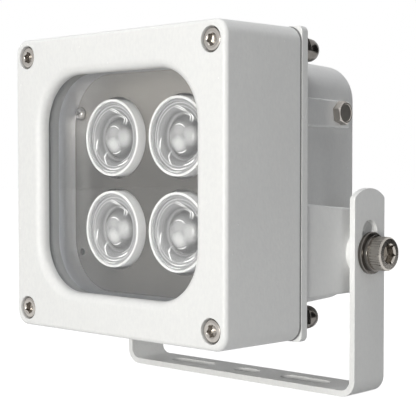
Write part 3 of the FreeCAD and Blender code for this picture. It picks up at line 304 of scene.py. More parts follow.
stainless("bright_steel", tint(0.56, 0.53, 0.495), tint(0.28, 0.26, 0.24), 0.2)
# A darker copy of the same stainless: painted shade for the dark that the nuts and washers mirror.
stainless("shaded_steel", tint(0.23, 0.215, 0.20), tint(0.09, 0.083, 0.076), 0.2)
stainless("knurled_steel", tint(0.55, 0.52, 0.48), tint(0.28, 0.26, 0.24), 0.13)
stainless("satin_steel", tint(0.60, 0.565, 0.525), tint(0.24, 0.225, 0.21), 0.36)
print("finishes so far:", len(FINISHES))

# %% [markdown]
# ## Metal sheets inside the lamp
# The lens plate is brushed sheet: long upright scratches a few tenths of a millimetre wide. The
# frame that clamps the pane is bluish cast alloy, and the heat spreader is plain milled plate.

# %% Brushed, cast and milled metal
SCRATCH_SIZE, SHEET_CLOUD = 0.9, 18.0
# Painted light: the lens plate is painted lighter between these heights, up to the colour given as its
# top, for the light that its upper part catches.
PAINTED_LIGHT_FROM, PAINTED_LIGHT_TO = LAMP_Z + 8, LAMP_Z + 44


def brushed(name, light, dark, stretch, roughness, depth, top=None):
    sheet = Finish(name, roughness, metallic=1.0)
    lines = sheet.noise(SCRATCH_SIZE, stretch=stretch, detail=4.0, roughness=0.7)
    cloud = sheet.noise(SHEET_CLOUD)
    tone = sheet.blend(lines * 0.7 + cloud * 0.3, light, dark)
    # Painted light: the plate is painted lighter towards its top, where it catches more light.
    if top:
        split = sheet.wires.node("ShaderNodeSeparateXYZ", sheet.where)
        height = sheet.between(Field(sheet.wires, split.outputs["Z"]) / MM, PAINTED_LIGHT_FROM, PAINTED_LIGHT_TO)
        tone = sheet.blend(height * (lines * 0.5 + 0.7), tone, top)
    sheet.colour(tone)
    sheet.gloss(sheet.between(lines, 0.3, 0.7, roughness * 0.85, roughness * 1.2))
    sheet.relief(lines, depth)
    FINISHES[name] = sheet.material


brushed("brushed_plate", tint(0.15, 0.143, 0.13), tint(0.085, 0.081, 0.074), (2.0, 1.0, 0.06), 0.38,
        0.01, top=tint(0.34, 0.32, 0.29))
brushed("frame_alloy", tint(0.80, 0.82, 0.87), tint(0.62, 0.64, 0.69), (1.0, 1.0, 0.3), 0.42, 0.015)
brushed("spreader_alloy", tint(0.62, 0.63, 0.64), tint(0.48, 0.49, 0.5), (0.2, 1.0, 2.0), 0.35, 0.01)
print("finishes so far:", len(FINISHES))

# %% [markdown]
# ## Rubber, plastic and boards
# These parts are mostly hidden. Each is a moulded or coated surface of one colour with a soft
# grain, so one helper makes them all from a colour, a gloss and a grain size.

# %% Moulded and coated parts
# The colour gets darker by this share, in clouds this many times as wide as the grain.
DARKER, CLOUD_TIMES = 0.12, 12


def moulded(name, colour, roughness, grain, depth):
    part = Finish(name, roughness)
    cloud = part.noise(grain * CLOUD_TIMES)
    fine = part.noise(grain)
    darker = tint(*[c * (1 - DARKER) for c in colour])
    part.colour(part.blend(part.mottle(cloud, fine), tint(*colour), darker))
    part.gloss(part.between(fine, 0.3, 0.7, roughness * 0.9, roughness * 1.15))
    part.relief(fine, depth)
    FINISHES[name] = part.material


# Name, colour, roughness, then the grain's width and height in millimetres.
MOULDED = (
    ("seal_rubber", (0.33, 0.335, 0.34), 0.5, 0.4, 0.02),
    ("gasket_rubber", (0.20, 0.20, 0.205), 0.7, 0.4, 0.02),
    ("holder_white", (0.66, 0.66, 0.655), 0.34, 0.5, 0.008),
    ("board_white", (0.84, 0.84, 0.82), 0.4, 0.4, 0.01),
    ("board_green", (0.045, 0.17, 0.08), 0.35, 0.4, 0.01),
    ("lead_sleeve", (0.48, 0.03, 0.02), 0.42, 0.4, 0.01),
    ("ferrite", (0.05, 0.05, 0.055), 0.6, 0.3, 0.03),
    ("winding_tape", (0.68, 0.42, 0.04), 0.3, 0.9, 0.03),
    ("choke_case", (0.06, 0.065, 0.07), 0.5, 0.4, 0.02),
    ("terminal_green", (0.05, 0.25, 0.09), 0.45, 0.4, 0.015),
    ("can_sleeve", (0.03, 0.035, 0.07), 0.25, 0.5, 0.01),
    ("gland_black", (0.028, 0.028, 0.031), 0.46, 0.35, 0.02),
    ("led_phosphor", (0.82, 0.62, 0.16), 0.2, 0.4, 0.01),
)
for row in MOULDED:
    moulded(*row)
print("finishes so far:", len(FINISHES))

# %% [markdown]
# ## The pane
# The front pane is clear flat glass. What shows of it is a thin reflection and a little grey, so the
# shader passes light with hardly any bending and carries a clear coat for its shine. Rays that look
# for a lamp go straight through it, as otherwise the inside would stay in its shade.

# %% Clear glass
HAZE_SIZE = 30.0


def clear_pane():
    glass = Finish("clear_glass", 0.0, IOR=1.02, Transmission_Weight=1.0,
                   Coat_Weight=1.0, Coat_Roughness=0.02, Coat_IOR=1.55)
    haze = glass.noise(HAZE_SIZE)
    glass.colour(glass.blend(haze, tint(0.955, 0.957, 0.955), tint(0.925, 0.93, 0.93)))
    rays = glass.wires.node("ShaderNodeLightPath")
    through = glass.wires.node("ShaderNodeBsdfTransparent")
    mix = glass.wires.node("ShaderNodeMixShader", rays.outputs["Is Shadow Ray"],
                           glass.shader.outputs["BSDF"], through.outputs["BSDF"])
    surface = glass.material.node_tree.nodes["Material Output"].inputs["Surface"]
    glass.wires.feed(surface, mix.outputs["Shader"])
    FINISHES["clear_glass"] = glass.material


clear_pane()
print("finishes so far:", len(FINISHES))

# %% [markdown]
# ## Lens acrylic
# A collimating lens gathers the light of one LED. From the front its cone mirrors the white holder
# in bright crescents, and its centre shows a few blurred leaves of the LED below. Tracing light
# through it would take long and stay noisy, so its look is painted: rings of painted light and shade,
# crescents of painted reflection and leaves of the painted LED, by distance and angle about each
# lens's own axis, from three short tables.

# %% Rings, crescents and leaves of a lens, in millimetres and degrees
RING_END = 17.2
# The crescents and leaves stand this far to one side, because the camera looks from the other.
PICTURE_SHIFT = 0.9
# Radius and painted shade of each ring, for the light and shade that the clear lens bends and mirrors.
LENS_RINGS = (
    (0.0, 0.17), (4.0, 0.16), (7.0, 0.115), (9.2, 0.075), (10.4, 0.11), (11.0, 0.30), (11.3, 0.17),
    (12.6, 0.20), (13.5, 0.17), (13.9, 0.40), (14.2, 0.17), (15.0, 0.20), (15.3, 0.46), (15.6, 0.20),
    (16.3, 0.26), (16.6, 0.20), (17.1, 0.38))
# Painted reflections of the holder: radius, half width, middle angle, half angle, drift outwards per
# radian, strength.
LENS_CRESCENTS = (
    (11.4, 0.45, 70, 30, 4.2, 1.0), (12.5, 0.40, 72, 25, 4.0, 1.0), (10.4, 0.32, 68, 22, 4.2, 0.8),
    (10.3, 0.24, 78, 14, 1.0, 0.6), (12.9, 0.50, 7, 11, 0.0, 1.0), (14.4, 0.42, -60, 17, 2.4, 1.0),
    (13.3, 0.32, -52, 15, 2.4, 0.8), (15.2, 0.35, -88, 22, 0.0, 0.7), (16.4, 0.30, -95, 18, 0.0, 0.7),
    (12.2, 0.35, -165, 14, 3.2, 0.9), (13.7, 0.30, -160, 18, 2.0, 0.7), (12.0, 0.35, -122, 18, 6.0, 0.9),
    (5.6, 0.28, 80, 40, 0.0, 0.8), (7.6, 0.28, -78, 26, 0.0, 0.9))
# The LED seen through the lens, painted as lighter patches: middle across and up, half width, half
# height, strength.
LENS_LEAVES = ((0.2, -3.6, 5.2, 4.2, 0.34), (7.0, 0.0, 4.0, 5.2, 0.26), (0.4, 3.0, 5.4, 4.2, 0.14),
               (-6.0, -1.0, 3.6, 5.4, 0.14))
print("rings, crescents, leaves:", len(LENS_RINGS), len(LENS_CRESCENTS), len(LENS_LEAVES))

# %% Acrylic painted round each lens's axis
# Full strength holds within this share of a crescent's angle, of its width, and of a leaf's area.
FULL_ANGLE, FULL_WIDTH, FULL_LEAF = 0.4, 0.3, 0.1


def from_nearest_lens(acrylic):
    """Metres across and up from the nearest lens's axis. The lenses stand on a square grid."""
    split = acrylic.wires.node("ShaderNodeSeparateXYZ", acrylic.where)
    pitch = LENS_HALF * 2 * MM
    across = (Field(acrylic.wires, split.outputs["X"]) + pitch) % pitch - pitch / 2
    up = (Field(acrylic.wires, split.outputs["Z"]) - LAMP_Z * MM + pitch) % pitch - pitch / 2
    return across, up


def distance(across, up):
    return (across * across + up * up).math("SQRT") / MM


def lens_rings(acrylic, out):
    ramp = acrylic.wires.node("ShaderNodeValToRGB", out / RING_END)
    points = ramp.color_ramp.elements
    while len(points) < len(LENS_RINGS):
        points.new(0.5)
    for point, (radius, shade) in zip(points, LENS_RINGS):
        point.position, point.color = radius / RING_END, tint(shade, shade, shade * 1.01)
    return ramp.outputs["Color"]


def lens_crescents(acrylic, across, up):
    angle, out = up.math("ARCTAN2", across), distance(across, up)
    crescents = []
    for radius, width, middle, half, drift, strength in LENS_CRESCENTS:
        turn = angle - math.radians(middle)
        off = (out - radius - turn * drift).math("ABSOLUTE")
        ends = acrylic.between(turn.math("COSINE"), math.cos(math.radians(half)),
                               math.cos(math.radians(half * FULL_ANGLE)))
        crescents.append(acrylic.between(off, width, width * FULL_WIDTH) * ends * strength)
    return crescents


def lens_leaves(acrylic, across, up):
    leaves = []
    for x, z, wide, high, strength in LENS_LEAVES:
        side, lift = (across / MM - x) / wide, (up / MM - z) / high
        leaves.append(acrylic.between(side * side + lift * lift, 1.0, FULL_LEAF) * strength)
    return leaves


def lens_acrylic():
    acrylic = Finish("lens_acrylic", 0.15, Specular_IOR_Level=0.2, Coat_Weight=0.35,
                     Coat_Roughness=0.05)
    across, up = from_nearest_lens(acrylic)
    rings = lens_rings(acrylic, distance(across, up))
    across = across + PICTURE_SHIFT * MM
    light, *others = lens_crescents(acrylic, across, up) + lens_leaves(acrylic, across, up)
    for other in others:
        light = light + other
    acrylic.colour(acrylic.blend(light.math("MINIMUM", 1.0), rings, grey(0.95, -0.01)))
    acrylic.relief(acrylic.noise(2.2, detail=1.0), 0.01)
    FINISHES["lens_acrylic"] = acrylic.material


lens_acrylic()
print("finishes:", len(FINISHES))

# %% [markdown]
# ## One tree for every turned piece
# Bolts, nuts, washers, lenses and holders all come off a lathe, or nearly: a profile goes round an
# axis, and a hexagon or a knurl changes its radius on the way. So a flat grid is rolled up: its
# columns become the angle, its rows the rings of the profile. A second step sets a copy on each
# place, turned the way that place looks. The sizes stay named inputs of the modifier.

# %% Named inputs, a table of rings, and copies on their places
ROUND = math.tau
# Vertices closer than this are one, in metres.
WELD = 2e-6
HEXAGON_SIDES, CROSS_ARMS = 6, 4.0
ROW_LENGTH = 5


def input_fields(tree, sizes):
    """Adds one named input to the tree for each size, and gives them as Fields."""
    tree.interface.new_socket("Geometry", in_out="INPUT", socket_type="NodeSocketGeometry")
    for label in sizes:
        tree.interface.new_socket(label, in_out="INPUT", socket_type="NodeSocketFloat")
    tree.interface.new_socket("Geometry", in_out="OUTPUT", socket_type="NodeSocketGeometry")
    wires = Wires(tree)
    group = wires.node("NodeGroupInput")
    fields = {label: Field(wires, group.outputs[label]) for label in sizes}
    return wires, group.outputs["Geometry"], fields


def ring_field(wires, ring, column):
    """The value that a column of the ring table has in this ring."""
    switch = wires.node("GeometryNodeIndexSwitch", data_type="FLOAT")
    while len(switch.index_switch_items) < len(column):
        switch.index_switch_items.new()
    for index, item in enumerate([ring] + list(column)):
        wires.feed(switch.inputs[index], item)
    return Field(wires, switch.outputs[0])


def set_on_places(wires, places, shape, finish):
    """A copy of shape on each place, looking along its aim, as one mesh."""
    aim = wires.node("GeometryNodeInputNamedAttribute", "aim", data_type="FLOAT_VECTOR")
    turn = wires.node("GeometryNodeInputNamedAttribute", "turn", data_type="FLOAT")
    look = wires.node("FunctionNodeAlignRotationToVector", None, 1.0, aim.outputs[0], axis="Z")
    copies = wires.node("GeometryNodeInstanceOnPoints")
    wires.feed(copies.inputs["Points"], places)
    wires.feed(copies.inputs["Instance"], shape)
    wires.feed(copies.inputs["Rotation"], look.outputs[0])
    spin = wires.node("GeometryNodeRotateInstances")
    wires.feed(spin.inputs["Instances"], copies.outputs[0])
    angles = wires.node("ShaderNodeCombineXYZ", 0.0, 0.0, turn.outputs[0])
    wires.feed(spin.inputs["Rotation"], angles.outputs[0])
    spin.inputs["Local Space"].default_value = True
    real = wires.node("GeometryNodeRealizeInstances", spin.outputs[0])
    painted = wires.node("GeometryNodeSetMaterial", real.outputs[0])
    painted.inputs["Material"].default_value = finish
    wires.node("NodeGroupOutput", painted.outputs[0])


print("made the helpers", input_fields.__name__, ring_field.__name__, set_on_places.__name__)

# %% Roll a grid into a turned piece


def turned_tree(name, sizes, rings, finish, segments, flutes):
    """rings(sizes) gives rows of radius, height, hexagon share, groove and lean, from the foot of
    the profile round its outside to its top, all in millimetres. The last three may be left out."""
    tree = bpy.data.node_groups.new(name, "GeometryNodeTree")
    wires, places, fields = input_fields(tree, sizes)
    table = [(list(row) + [0.0] * ROW_LENGTH)[:ROW_LENGTH] for row in rings(**fields)]
    grid = wires.node("GeometryNodeMeshGrid", 1.0, 1.0, segments + 1, len(table))
    split = wires.node("ShaderNodeSeparateXYZ", wires.node("GeometryNodeInputPosition").outputs[0])
    angle = (Field(wires, split.outputs["X"]) + 0.5) * ROUND
    ring = ((Field(wires, split.outputs["Y"]) + 0.5) * (len(table) - 1)).math("ROUND")
    radius, height, share, groove, lean = [ring_field(wires, ring, column) for column in zip(*table)]
    part = ROUND / HEXAGON_SIDES
    corner = ((angle % part) - part / 2).math("COSINE")
    swell = share / corner - share
    if flutes:
        ridge = ((angle * (flutes / ROUND)) % 1.0 - 0.5).math("ABSOLUTE") * 2.0
    else:
        ridge = (angle * CROSS_ARMS).math("COSINE") * -0.5 + 0.5
    reach = radius + radius * swell - groove * ridge
    rise = height - lean * (reach - radius)
    place = wires.node("ShaderNodeCombineXYZ", reach * angle.math("COSINE") * MM,
                       reach * angle.math("SINE") * MM, rise * MM)
    rolled = wires.node("GeometryNodeSetPosition")
    wires.feed(rolled.inputs["Geometry"], grid.outputs["Mesh"])
    wires.feed(rolled.inputs["Position"], place.outputs[0])
    closed = wires.node("GeometryNodeMergeByDistance", rolled.outputs[0])
    closed.inputs["Distance"].default_value = WELD
    set_on_places(wires, places, closed.outputs[0], finish)
    return tree


print("made the helper", turned_tree.__name__)

# %% [markdown]
# ## From a tree to a finished piece
# A tree works on a mesh of single points, one for each copy, which say where the copy goes and
# which way it looks. The result is turned into a plain mesh, because the piece has to stand on its
# own. Then it gets smooth faces, a body to ride on and the nodes that it stands for.

# %% Run a tree, and dress a piece
SMOOTH_ANGLE = 32


def run_tree(name, tree, sizes, places):
    """One plain mesh of the tree's copies. A place is (point in millimetres, aim, turn in degrees)."""
    start = bpy.data.meshes.new(name)
    start.from_pydata([Vector(point) * MM for point, _, _ in places], [], [])
    aims = start.attributes.new("aim", "FLOAT_VECTOR", "POINT")
    aims.data.foreach_set("vector", [part for _, aim, _ in places for part in aim])
    turns = start.attributes.new("turn", "FLOAT", "POINT")
    turns.data.foreach_set("value", [math.radians(turn) for _, _, turn in places])
    piece = bpy.data.objects.new(name, start)
    bpy.context.scene.collection.objects.link(piece)
    modifier = piece.modifiers.new("nodes", "NODES")
    modifier.node_group = tree
    for item in tree.interface.items_tree:
        if item.item_type == "SOCKET" and item.in_out == "INPUT" and item.name in sizes:
            modifier[item.identifier] = float(sizes[item.name])
    ready = piece.evaluated_get(bpy.context.evaluated_depsgraph_get())
    mesh = bpy.data.meshes.new_from_object(ready)
    piece.modifiers.clear()
    piece.data = mesh
    bpy.data.meshes.remove(start)
    mesh.name = name
    return piece


def dress(piece, body, stands_for, smooth=SMOOTH_ANGLE):
    """Smooth shading up to an angle, then the piece rides on its body in place of its nodes."""
    piece.data.shade_smooth()
    piece.data.set_sharp_from_angle(angle=math.radians(smooth))
    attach(piece, body)
    if stands_for:
        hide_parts(*stands_for)
    low, high = [Vector(corner) for corner in (piece.bound_box[0], piece.bound_box[6])]
    size = ["%.1f" % (length / MM) for length in high - low]
    print("%-18s %6d faces, %s mm" % (piece.name, len(piece.data.polygons), " x ".join(size)))


def turned(node, sizes, rings, places, finish, body="lamp_head", segments=48, flutes=0,
           smooth=SMOOTH_ANGLE):
    """A turned piece in place of a node, named after it."""
    tree = turned_tree(node, sizes, rings, FINISHES[finish], segments, flutes)
    piece = run_tree(node + "_made", tree, sizes, places)
    dress(piece, body, [node], smooth)


# %% [markdown]
# ## Corner bolts
# Four socket head bolts hold the two castings together. Their heads sit in counterbores, just below
# the face, with a rounded rim and a hexagon socket. No two stop at the same angle.

# %% Socket head bolts in the front corners
FRONT, BACK, RIGHT, LEFT = (0, -1, 0), (0, 1, 0), (1, 0, 0), (-1, 0, 0)
CORNERS = ((1, 1), (-1, 1), (-1, -1), (1, -1))
# Where the heads sit in their counterbores, along Y in millimetres.
BOLT_SEAT = -87.4


def at_corners(depth, aim, turns):
    return [((BOLT_HALF * x, depth, LAMP_Z + BOLT_HALF * z), aim, turn)
            for (x, z), turn in zip(CORNERS, turns)]


def shank_rows(shank, length, chamfer):
    """The shank of a bolt, from its chamfered end up to its head."""
    return [(0.0, -length), (shank - chamfer, -length), (shank, -length + chamfer), (shank, 0.0)]


def socket_bolt(head, height, edge, shank, length, socket, depth):
    return shank_rows(shank, length, 0.4) + [
        (head - 0.15, 0.0), (head, 0.15), (head, height - edge),
        (head - edge * 0.3, height - edge * 0.3), (head - edge, height),
        (socket + 0.75, height), (socket + 0.35, height - 0.12), (socket, height - 0.45, 1.0),
        (socket, height - depth, 1.0), (0.0, height - depth - 0.7)]


turned("corner_bolts",
       dict(head=5.0, height=6.0, edge=0.9, shank=3.0, length=59.5, socket=2.5, depth=3.0),
       socket_bolt, at_corners(BOLT_SEAT, FRONT, (12, 41, 27, 8)), "bright_steel")

# %% [markdown]
# ## Washers and dome nuts
# Behind the flange each bolt ends in a washer and a dome nut: a hexagon with bevelled corners under
# a closed dome that keeps water off the thread.

# %% Washers and dome nuts behind the flange
FLANGE_BACK, WASHER_THICK = -40.2, 1.2
DOME_STEPS = 6


def flat_ring(outer, bore, thick, edge):
    return [
        (bore, edge), (bore + edge, 0.0), (outer - edge, 0.0), (outer, edge), (outer, thick - edge),
        (outer - edge, thick), (bore + edge, thick), (bore, thick - edge), (bore, edge)]


def dome_nut(flats, hexagon, dome, height, bore, hollow):
    centre = height - dome
    cap = [(dome * math.cos(angle), centre + dome * math.sin(angle))
           for angle in [math.radians(90 * step / DOME_STEPS) for step in range(DOME_STEPS)]]
    return [
        (0.0, hollow + 0.8), (bore, hollow), (bore, 0.5), (bore + 0.45, 0.0), (flats - 0.25, 0.0),
        (flats - 0.12, 0.1, 1.0, 0.0, -0.5), (flats, hexagon - 0.1, 1.0, 0.0, 0.58),
        (flats - 0.25, hexagon), (dome - 0.35, hexagon + 0.15), (dome - 0.25, hexagon + 0.6),
        (dome, hexagon + 1.0)] + cap + [(0.0, height)]


turned("corner_washers", dict(outer=6.2, bore=3.3, thick=WASHER_THICK, edge=0.15), flat_ring,
       at_corners(FLANGE_BACK, BACK, (0, 0, 0, 0)), "bright_steel")
turned("dome_nuts", dict(flats=5.5, hexagon=6.5, dome=5.4, height=16.0, bore=3.05, hollow=12.0),
       dome_nut, at_corners(FLANGE_BACK + WASHER_THICK, BACK, (9, 38, 52, 21)), "shaded_steel")

# %% [markdown]
# ## The hexagon bolt in the side boss
# A small hexagon head bolt closes the earth terminal in the side boss. Its corners are turned off at
# 30 degrees, so the top edge dips at each corner, and its face has a shallow turned recess.

# %% Hexagon head bolt
SIDE_BOSS_FACE = (62.0, -4.5, LAMP_Z + 33.5)


def hexagon_bolt(flats, height, shank, length):
    return shank_rows(shank, length, 0.4) + [
        (flats - 0.3, 0.0), (flats - 0.05, 0.15, 1.0), (flats, height - 0.2, 1.0, 0.0, 0.6),
        (flats - 0.25, height), (flats - 0.8, height), (flats - 1.0, height - 0.25),
        (0.0, height - 0.25)]


turned("side_bolt", dict(flats=5.0, height=4.0, shank=3.0, length=5.5), hexagon_bolt,
       [(SIDE_BOSS_FACE, RIGHT, 11)], "satin_steel")

# %% [markdown]
# ## Pivot bolts and their washers
# Two big socket head bolts pinch the bracket's arms against the lugs. Their heads are knurled for a
# sure grip, with 36 ridges that stop short of the end face. Under each head lie a split spring
# washer and a plain one.

# %% Knurled pivot bolts and plain washers
ARM_OUTSIDE, PIVOT_WASHER, SPRING_WASHER = 76.6, 2.0, 2.2


def both_sides(out, turns=(0, 0)):
    """A place beside each arm, out millimetres from the middle and looking outwards."""
    right, left = turns
    return [((out, 0, PIVOT_Z), RIGHT, right), ((-out, 0, PIVOT_Z), LEFT, left)]


def knurled_bolt(head, height, edge, groove, shank, length, socket, depth):
    return shank_rows(shank, length, 0.6) + [
        (head - 0.3, 0.0), (head, 0.3, 0.0, groove), (head, height - edge, 0.0, groove),
        (head - 0.1, height - edge + 0.1), (head - edge, height), (socket + 0.9, height),
        (socket + 0.1, height - 0.8, 1.0), (socket, height - depth, 1.0),
        (0.0, height - depth - 1.0)]


turned("pivot_bolts",
       dict(head=8.0, height=7.0, edge=0.8, groove=0.35, shank=5.0, length=23.5, socket=4.0, depth=4.2),
       knurled_bolt, both_sides(ARM_OUTSIDE + PIVOT_WASHER + SPRING_WASHER, (19, 44)), "knurled_steel",
       segments=288, flutes=36)
turned("pivot_washers", dict(outer=10.0, bore=5.3, thick=PIVOT_WASHER, edge=0.3), flat_ring,
       both_sides(ARM_OUTSIDE), "shaded_steel", body="washer_carrier", segments=72)

# %% [markdown]
# ## Split spring washers
# A spring washer is one turn of square wire with a narrow cut. A lathe can't make the cut, so here
# a square section follows an arc that stops short of a full turn.

# %% One turn of square wire
ARC_STEPS = 72
# The wire's edges are rounded by this share of its thickness.
WIRE_ROUND = 0.1


def spring_tree(name, finish):
    tree = bpy.data.node_groups.new(name, "GeometryNodeTree")
    wires, places, size = input_fields(tree, ("middle", "width", "thick", "gap"))
    arc = wires.node("GeometryNodeCurveArc")
    open_angle = size["gap"] / size["middle"]
    wires.feed(arc.inputs["Resolution"], ARC_STEPS)
    wires.feed(arc.inputs["Radius"], size["middle"] * MM)
    wires.feed(arc.inputs["Start Angle"], open_angle * 0.5)
    wires.feed(arc.inputs["Sweep Angle"], -open_angle + ROUND)
    bar = wires.node("GeometryNodeCurvePrimitiveQuadrilateral")
    wires.feed(bar.inputs["Width"], size["width"] * MM)
    wires.feed(bar.inputs["Height"], size["thick"] * MM)
    rounded = wires.node("GeometryNodeFilletCurve", bar.outputs[0], mode="POLY")
    rounded.inputs["Count"].default_value = 2
    wires.feed(rounded.inputs["Radius"], size["thick"] * MM * WIRE_ROUND)
    wire = wires.node("GeometryNodeCurveToMesh")
    wires.feed(wire.inputs["Curve"], arc.outputs[0])
    wires.feed(wire.inputs["Profile Curve"], rounded.outputs[0])
    wire.inputs["Fill Caps"].default_value = True
    raised = wires.node("GeometryNodeTransform", wire.outputs[0])
    lift = wires.node("ShaderNodeCombineXYZ", 0.0, 0.0, size["thick"] * MM * 0.5)
    wires.feed(raised.inputs["Translation"], lift.outputs[0])
    set_on_places(wires, places, raised.outputs[0], finish)
    return tree


spring_washers = run_tree("spring_washers_made", spring_tree("spring_washers", FINISHES["shaded_steel"]),
                          dict(middle=6.95, width=3.3, thick=SPRING_WASHER, gap=1.6),
                          both_sides(ARM_OUTSIDE + PIVOT_WASHER, (70, 250)))
dress(spring_washers, "lamp_head", ["spring_washers"])

# %% [markdown]
# ## Cross-recess screws of the lens plate
# Three small pan head screws hold the lens plate on its posts. The fourth hole, lower left, is empty
# in the picture and stays so.

# %% Pan head screws
PLATE_FACE = -70.0
SCREW_ACROSS, SCREW_UP = 48.0, 34.3
# Side, up or down, and turn in degrees.
PLATE_SCREWS = ((-1, 1, 20), (1, 1, 55), (1, -1, 33))


def pan_screw(head, height, shank, length, cross):
    return shank_rows(shank, length, 0.3) + [
        (head - 0.15, 0.0), (head, 0.2), (head - 0.1, height * 0.45), (head * 0.82, height * 0.8),
        (head * 0.62, height), (cross, height, 0.0, cross * 0.62),
        (cross * 0.7, height * 0.35, 0.0, cross * 0.42), (0.0, height * 0.2)]


turned("plate_screws", dict(head=3.4, height=2.2, shank=1.5, length=8.0, cross=1.7), pan_screw,
       [((SCREW_ACROSS * x, PLATE_FACE, LAMP_Z + SCREW_UP * z), FRONT, turn)
        for x, z, turn in PLATE_SCREWS], "knurled_steel")

# %% [markdown]
# ## Lenses and holders
# Each lens is a cone of clear acrylic with a stepped rim and a bowl whose floor swells into a dome.
# It stands in a white tube. Both are turned shapes, set four times on a square.

# %% Four lenses in four white tubes
LENS_PLACES = [(x, LAMP_Z + z) for z in (LENS_HALF, -LENS_HALF) for x in (-LENS_HALF, LENS_HALF)]
LENS_FACE, HOLDER_FACE = -73.2, -74.0


def lens_body(rim, neck, bowl, floor, tail, bore, length, hollow):
    return [
        (0.0, hollow - length), (bore - 0.6, hollow - length), (bore, hollow - length - 0.6),
        (bore, -length), (tail, -length), (neck - 1.5, -4.8), (neck, -1.6), (rim, -1.6),
        (rim, -0.25), (rim - 0.25, 0.0), (rim - 0.9, 0.0), (rim - 1.15, -0.2), (rim - 1.3, -0.9),
        (neck - 0.9, -0.95), (neck - 1.3, -0.75), (neck - 1.7, -0.75), (neck - 2.0, -1.0),
        (bowl + 1.1, -1.9), (bowl + 0.2, -3.7), (bowl - 0.1, -4.7), (bowl - 0.6, -5.0),
        (bowl - 1.2, -4.85), (floor, -4.2), (floor - 0.9, -2.9), (floor - 2.2, -2.05),
        (floor - 4.2, -1.4), (floor - 6.6, -1.08), (0.0, -1.0)]


def holder_tube(outer, inner, ledge, seat, length):
    return [
        (ledge, -length), (outer, -length), (outer, -0.45), (outer - 0.12, -0.12),
        (outer - 0.45, 0.0), (inner + 0.3, 0.0), (inner, -0.3), (inner, -seat),
        (ledge, -seat), (ledge, -length)]


for number, (x, z) in enumerate(LENS_PLACES, start=1):
    turned("lens_%d" % number,
           dict(rim=17.1, neck=15.5, bowl=11.0, floor=9.4, tail=6.0, bore=4.2, length=21.0, hollow=5.5),
           lens_body, [((x, LENS_FACE, z), FRONT, 0)], "lens_acrylic", segments=96, smooth=50)
    turned("lens_holder_%d" % number,
           dict(outer=18.5, inner=17.2, ledge=16.0, seat=2.4, length=23.2),
           holder_tube, [((x, HOLDER_FACE, z), FRONT, 0)], "holder_white", segments=96)

# %% [markdown]
# ## Cable gland
# The cable enters through a black nylon gland in the middle of the rear wall. Its cap is a hexagon
# that narrows to a cone and squeezes the seal. No cord is fitted, so the cap's mouth is open. The
# gland's body and locknut are right as the frame gives them.

# %% Gland cap
GLAND_FACE = (0.0, 22.2, LAMP_Z)


def gland_cap(flats, skirt, nose, length, socket, mouth):
    return [
        (socket, 0.0), (flats - 0.3, 0.0), (flats, 0.3, 1.0), (flats, skirt - 0.2, 1.0, 0.0, 0.58),
        (flats - 0.3, skirt), (flats - 0.9, skirt + 0.4), (nose + 1.2, length - 0.9),
        (nose + 0.5, length), (mouth + 0.3, length), (mouth, length - 0.3), (mouth, skirt),
        (socket, skirt), (socket, 0.0)]


turned("gland_cap", dict(flats=11.0, skirt=6.0, nose=6.0, length=12.0, socket=9.05, mouth=5.0),
       gland_cap, [(GLAND_FACE, BACK, 6)], "gland_black", segments=72)

# %% [markdown]
# ## Seal, clamp frame and gasket bead
# The pane's rubber seal, the alloy frame behind it and the bead of gasket that is squeezed out
# between the two housings are square rings with round corners. One tree makes all three: a square
# curve gets its corners rounded and carries a small rounded section along itself. The seal closes
# on the pane's edge all the way, so the pane simply ends inside it.

# %% Square rings round the window
# Steps in each rounded corner of the ring, and of its section.
PATH_STEPS, SECTION_STEPS = 16, 3


def square_ring_tree(name, finish):
    tree = bpy.data.node_groups.new(name, "GeometryNodeTree")
    wires, places, size = input_fields(tree, ("outer", "inner", "corner", "depth", "round"))
    middle = (size["outer"] + size["inner"]) * MM
    path = wires.node("GeometryNodeCurvePrimitiveQuadrilateral")
    section = wires.node("GeometryNodeCurvePrimitiveQuadrilateral")
    for node, width, height in ((path, middle, middle),
                                (section, (size["outer"] - size["inner"]) * MM, size["depth"] * MM)):
        wires.feed(node.inputs["Width"], width)
        wires.feed(node.inputs["Height"], height)
    rounded = []
    for curve, radius, count in ((path, size["corner"] * MM, PATH_STEPS),
                                 (section, size["round"] * MM, SECTION_STEPS)):
        fillet = wires.node("GeometryNodeFilletCurve", curve.outputs[0], mode="POLY")
        wires.feed(fillet.inputs["Count"], count)
        wires.feed(fillet.inputs["Radius"], radius)
        rounded.append(fillet.outputs[0])
    flat = wires.node("GeometryNodeSetCurveNormal", rounded[0], mode="Z_UP")
    bar = wires.node("GeometryNodeCurveToMesh")
    wires.feed(bar.inputs["Curve"], flat.outputs[0])
    wires.feed(bar.inputs["Profile Curve"], rounded[1])
    raised = wires.node("GeometryNodeTransform", bar.outputs[0])
    lift = wires.node("ShaderNodeCombineXYZ", 0.0, 0.0, size["depth"] * MM * 0.5)
    wires.feed(raised.inputs["Translation"], lift.outputs[0])
    set_on_places(wires, places, raised.outputs[0], finish)
    return tree


# Name, finish, rear face along Y, and sizes: outer and inner are half widths.
RINGS = (
    ("glass_seal", "seal_rubber", -80.8,
     dict(outer=58.1, inner=52.7, corner=28.2, depth=7.2, round=0.3)),
    ("clamp_frame", "frame_alloy", PLATE_FACE,
     dict(outer=58.1, inner=52.8, corner=28.2, depth=10.8, round=0.25)),
    ("gasket_bead", "gasket_rubber", -44.25,
     dict(outer=70.62, inner=69.3, corner=6.4, depth=0.7, round=0.3)),
)
for name, finish, rear, sizes in RINGS:
    ring = run_tree(name + "_made", square_ring_tree(name, FINISHES[finish]), sizes,
                    [((0.0, rear, LAMP_Z), FRONT, 0)])
    dress(ring, "lamp_head", [name] if name in nodes else [])

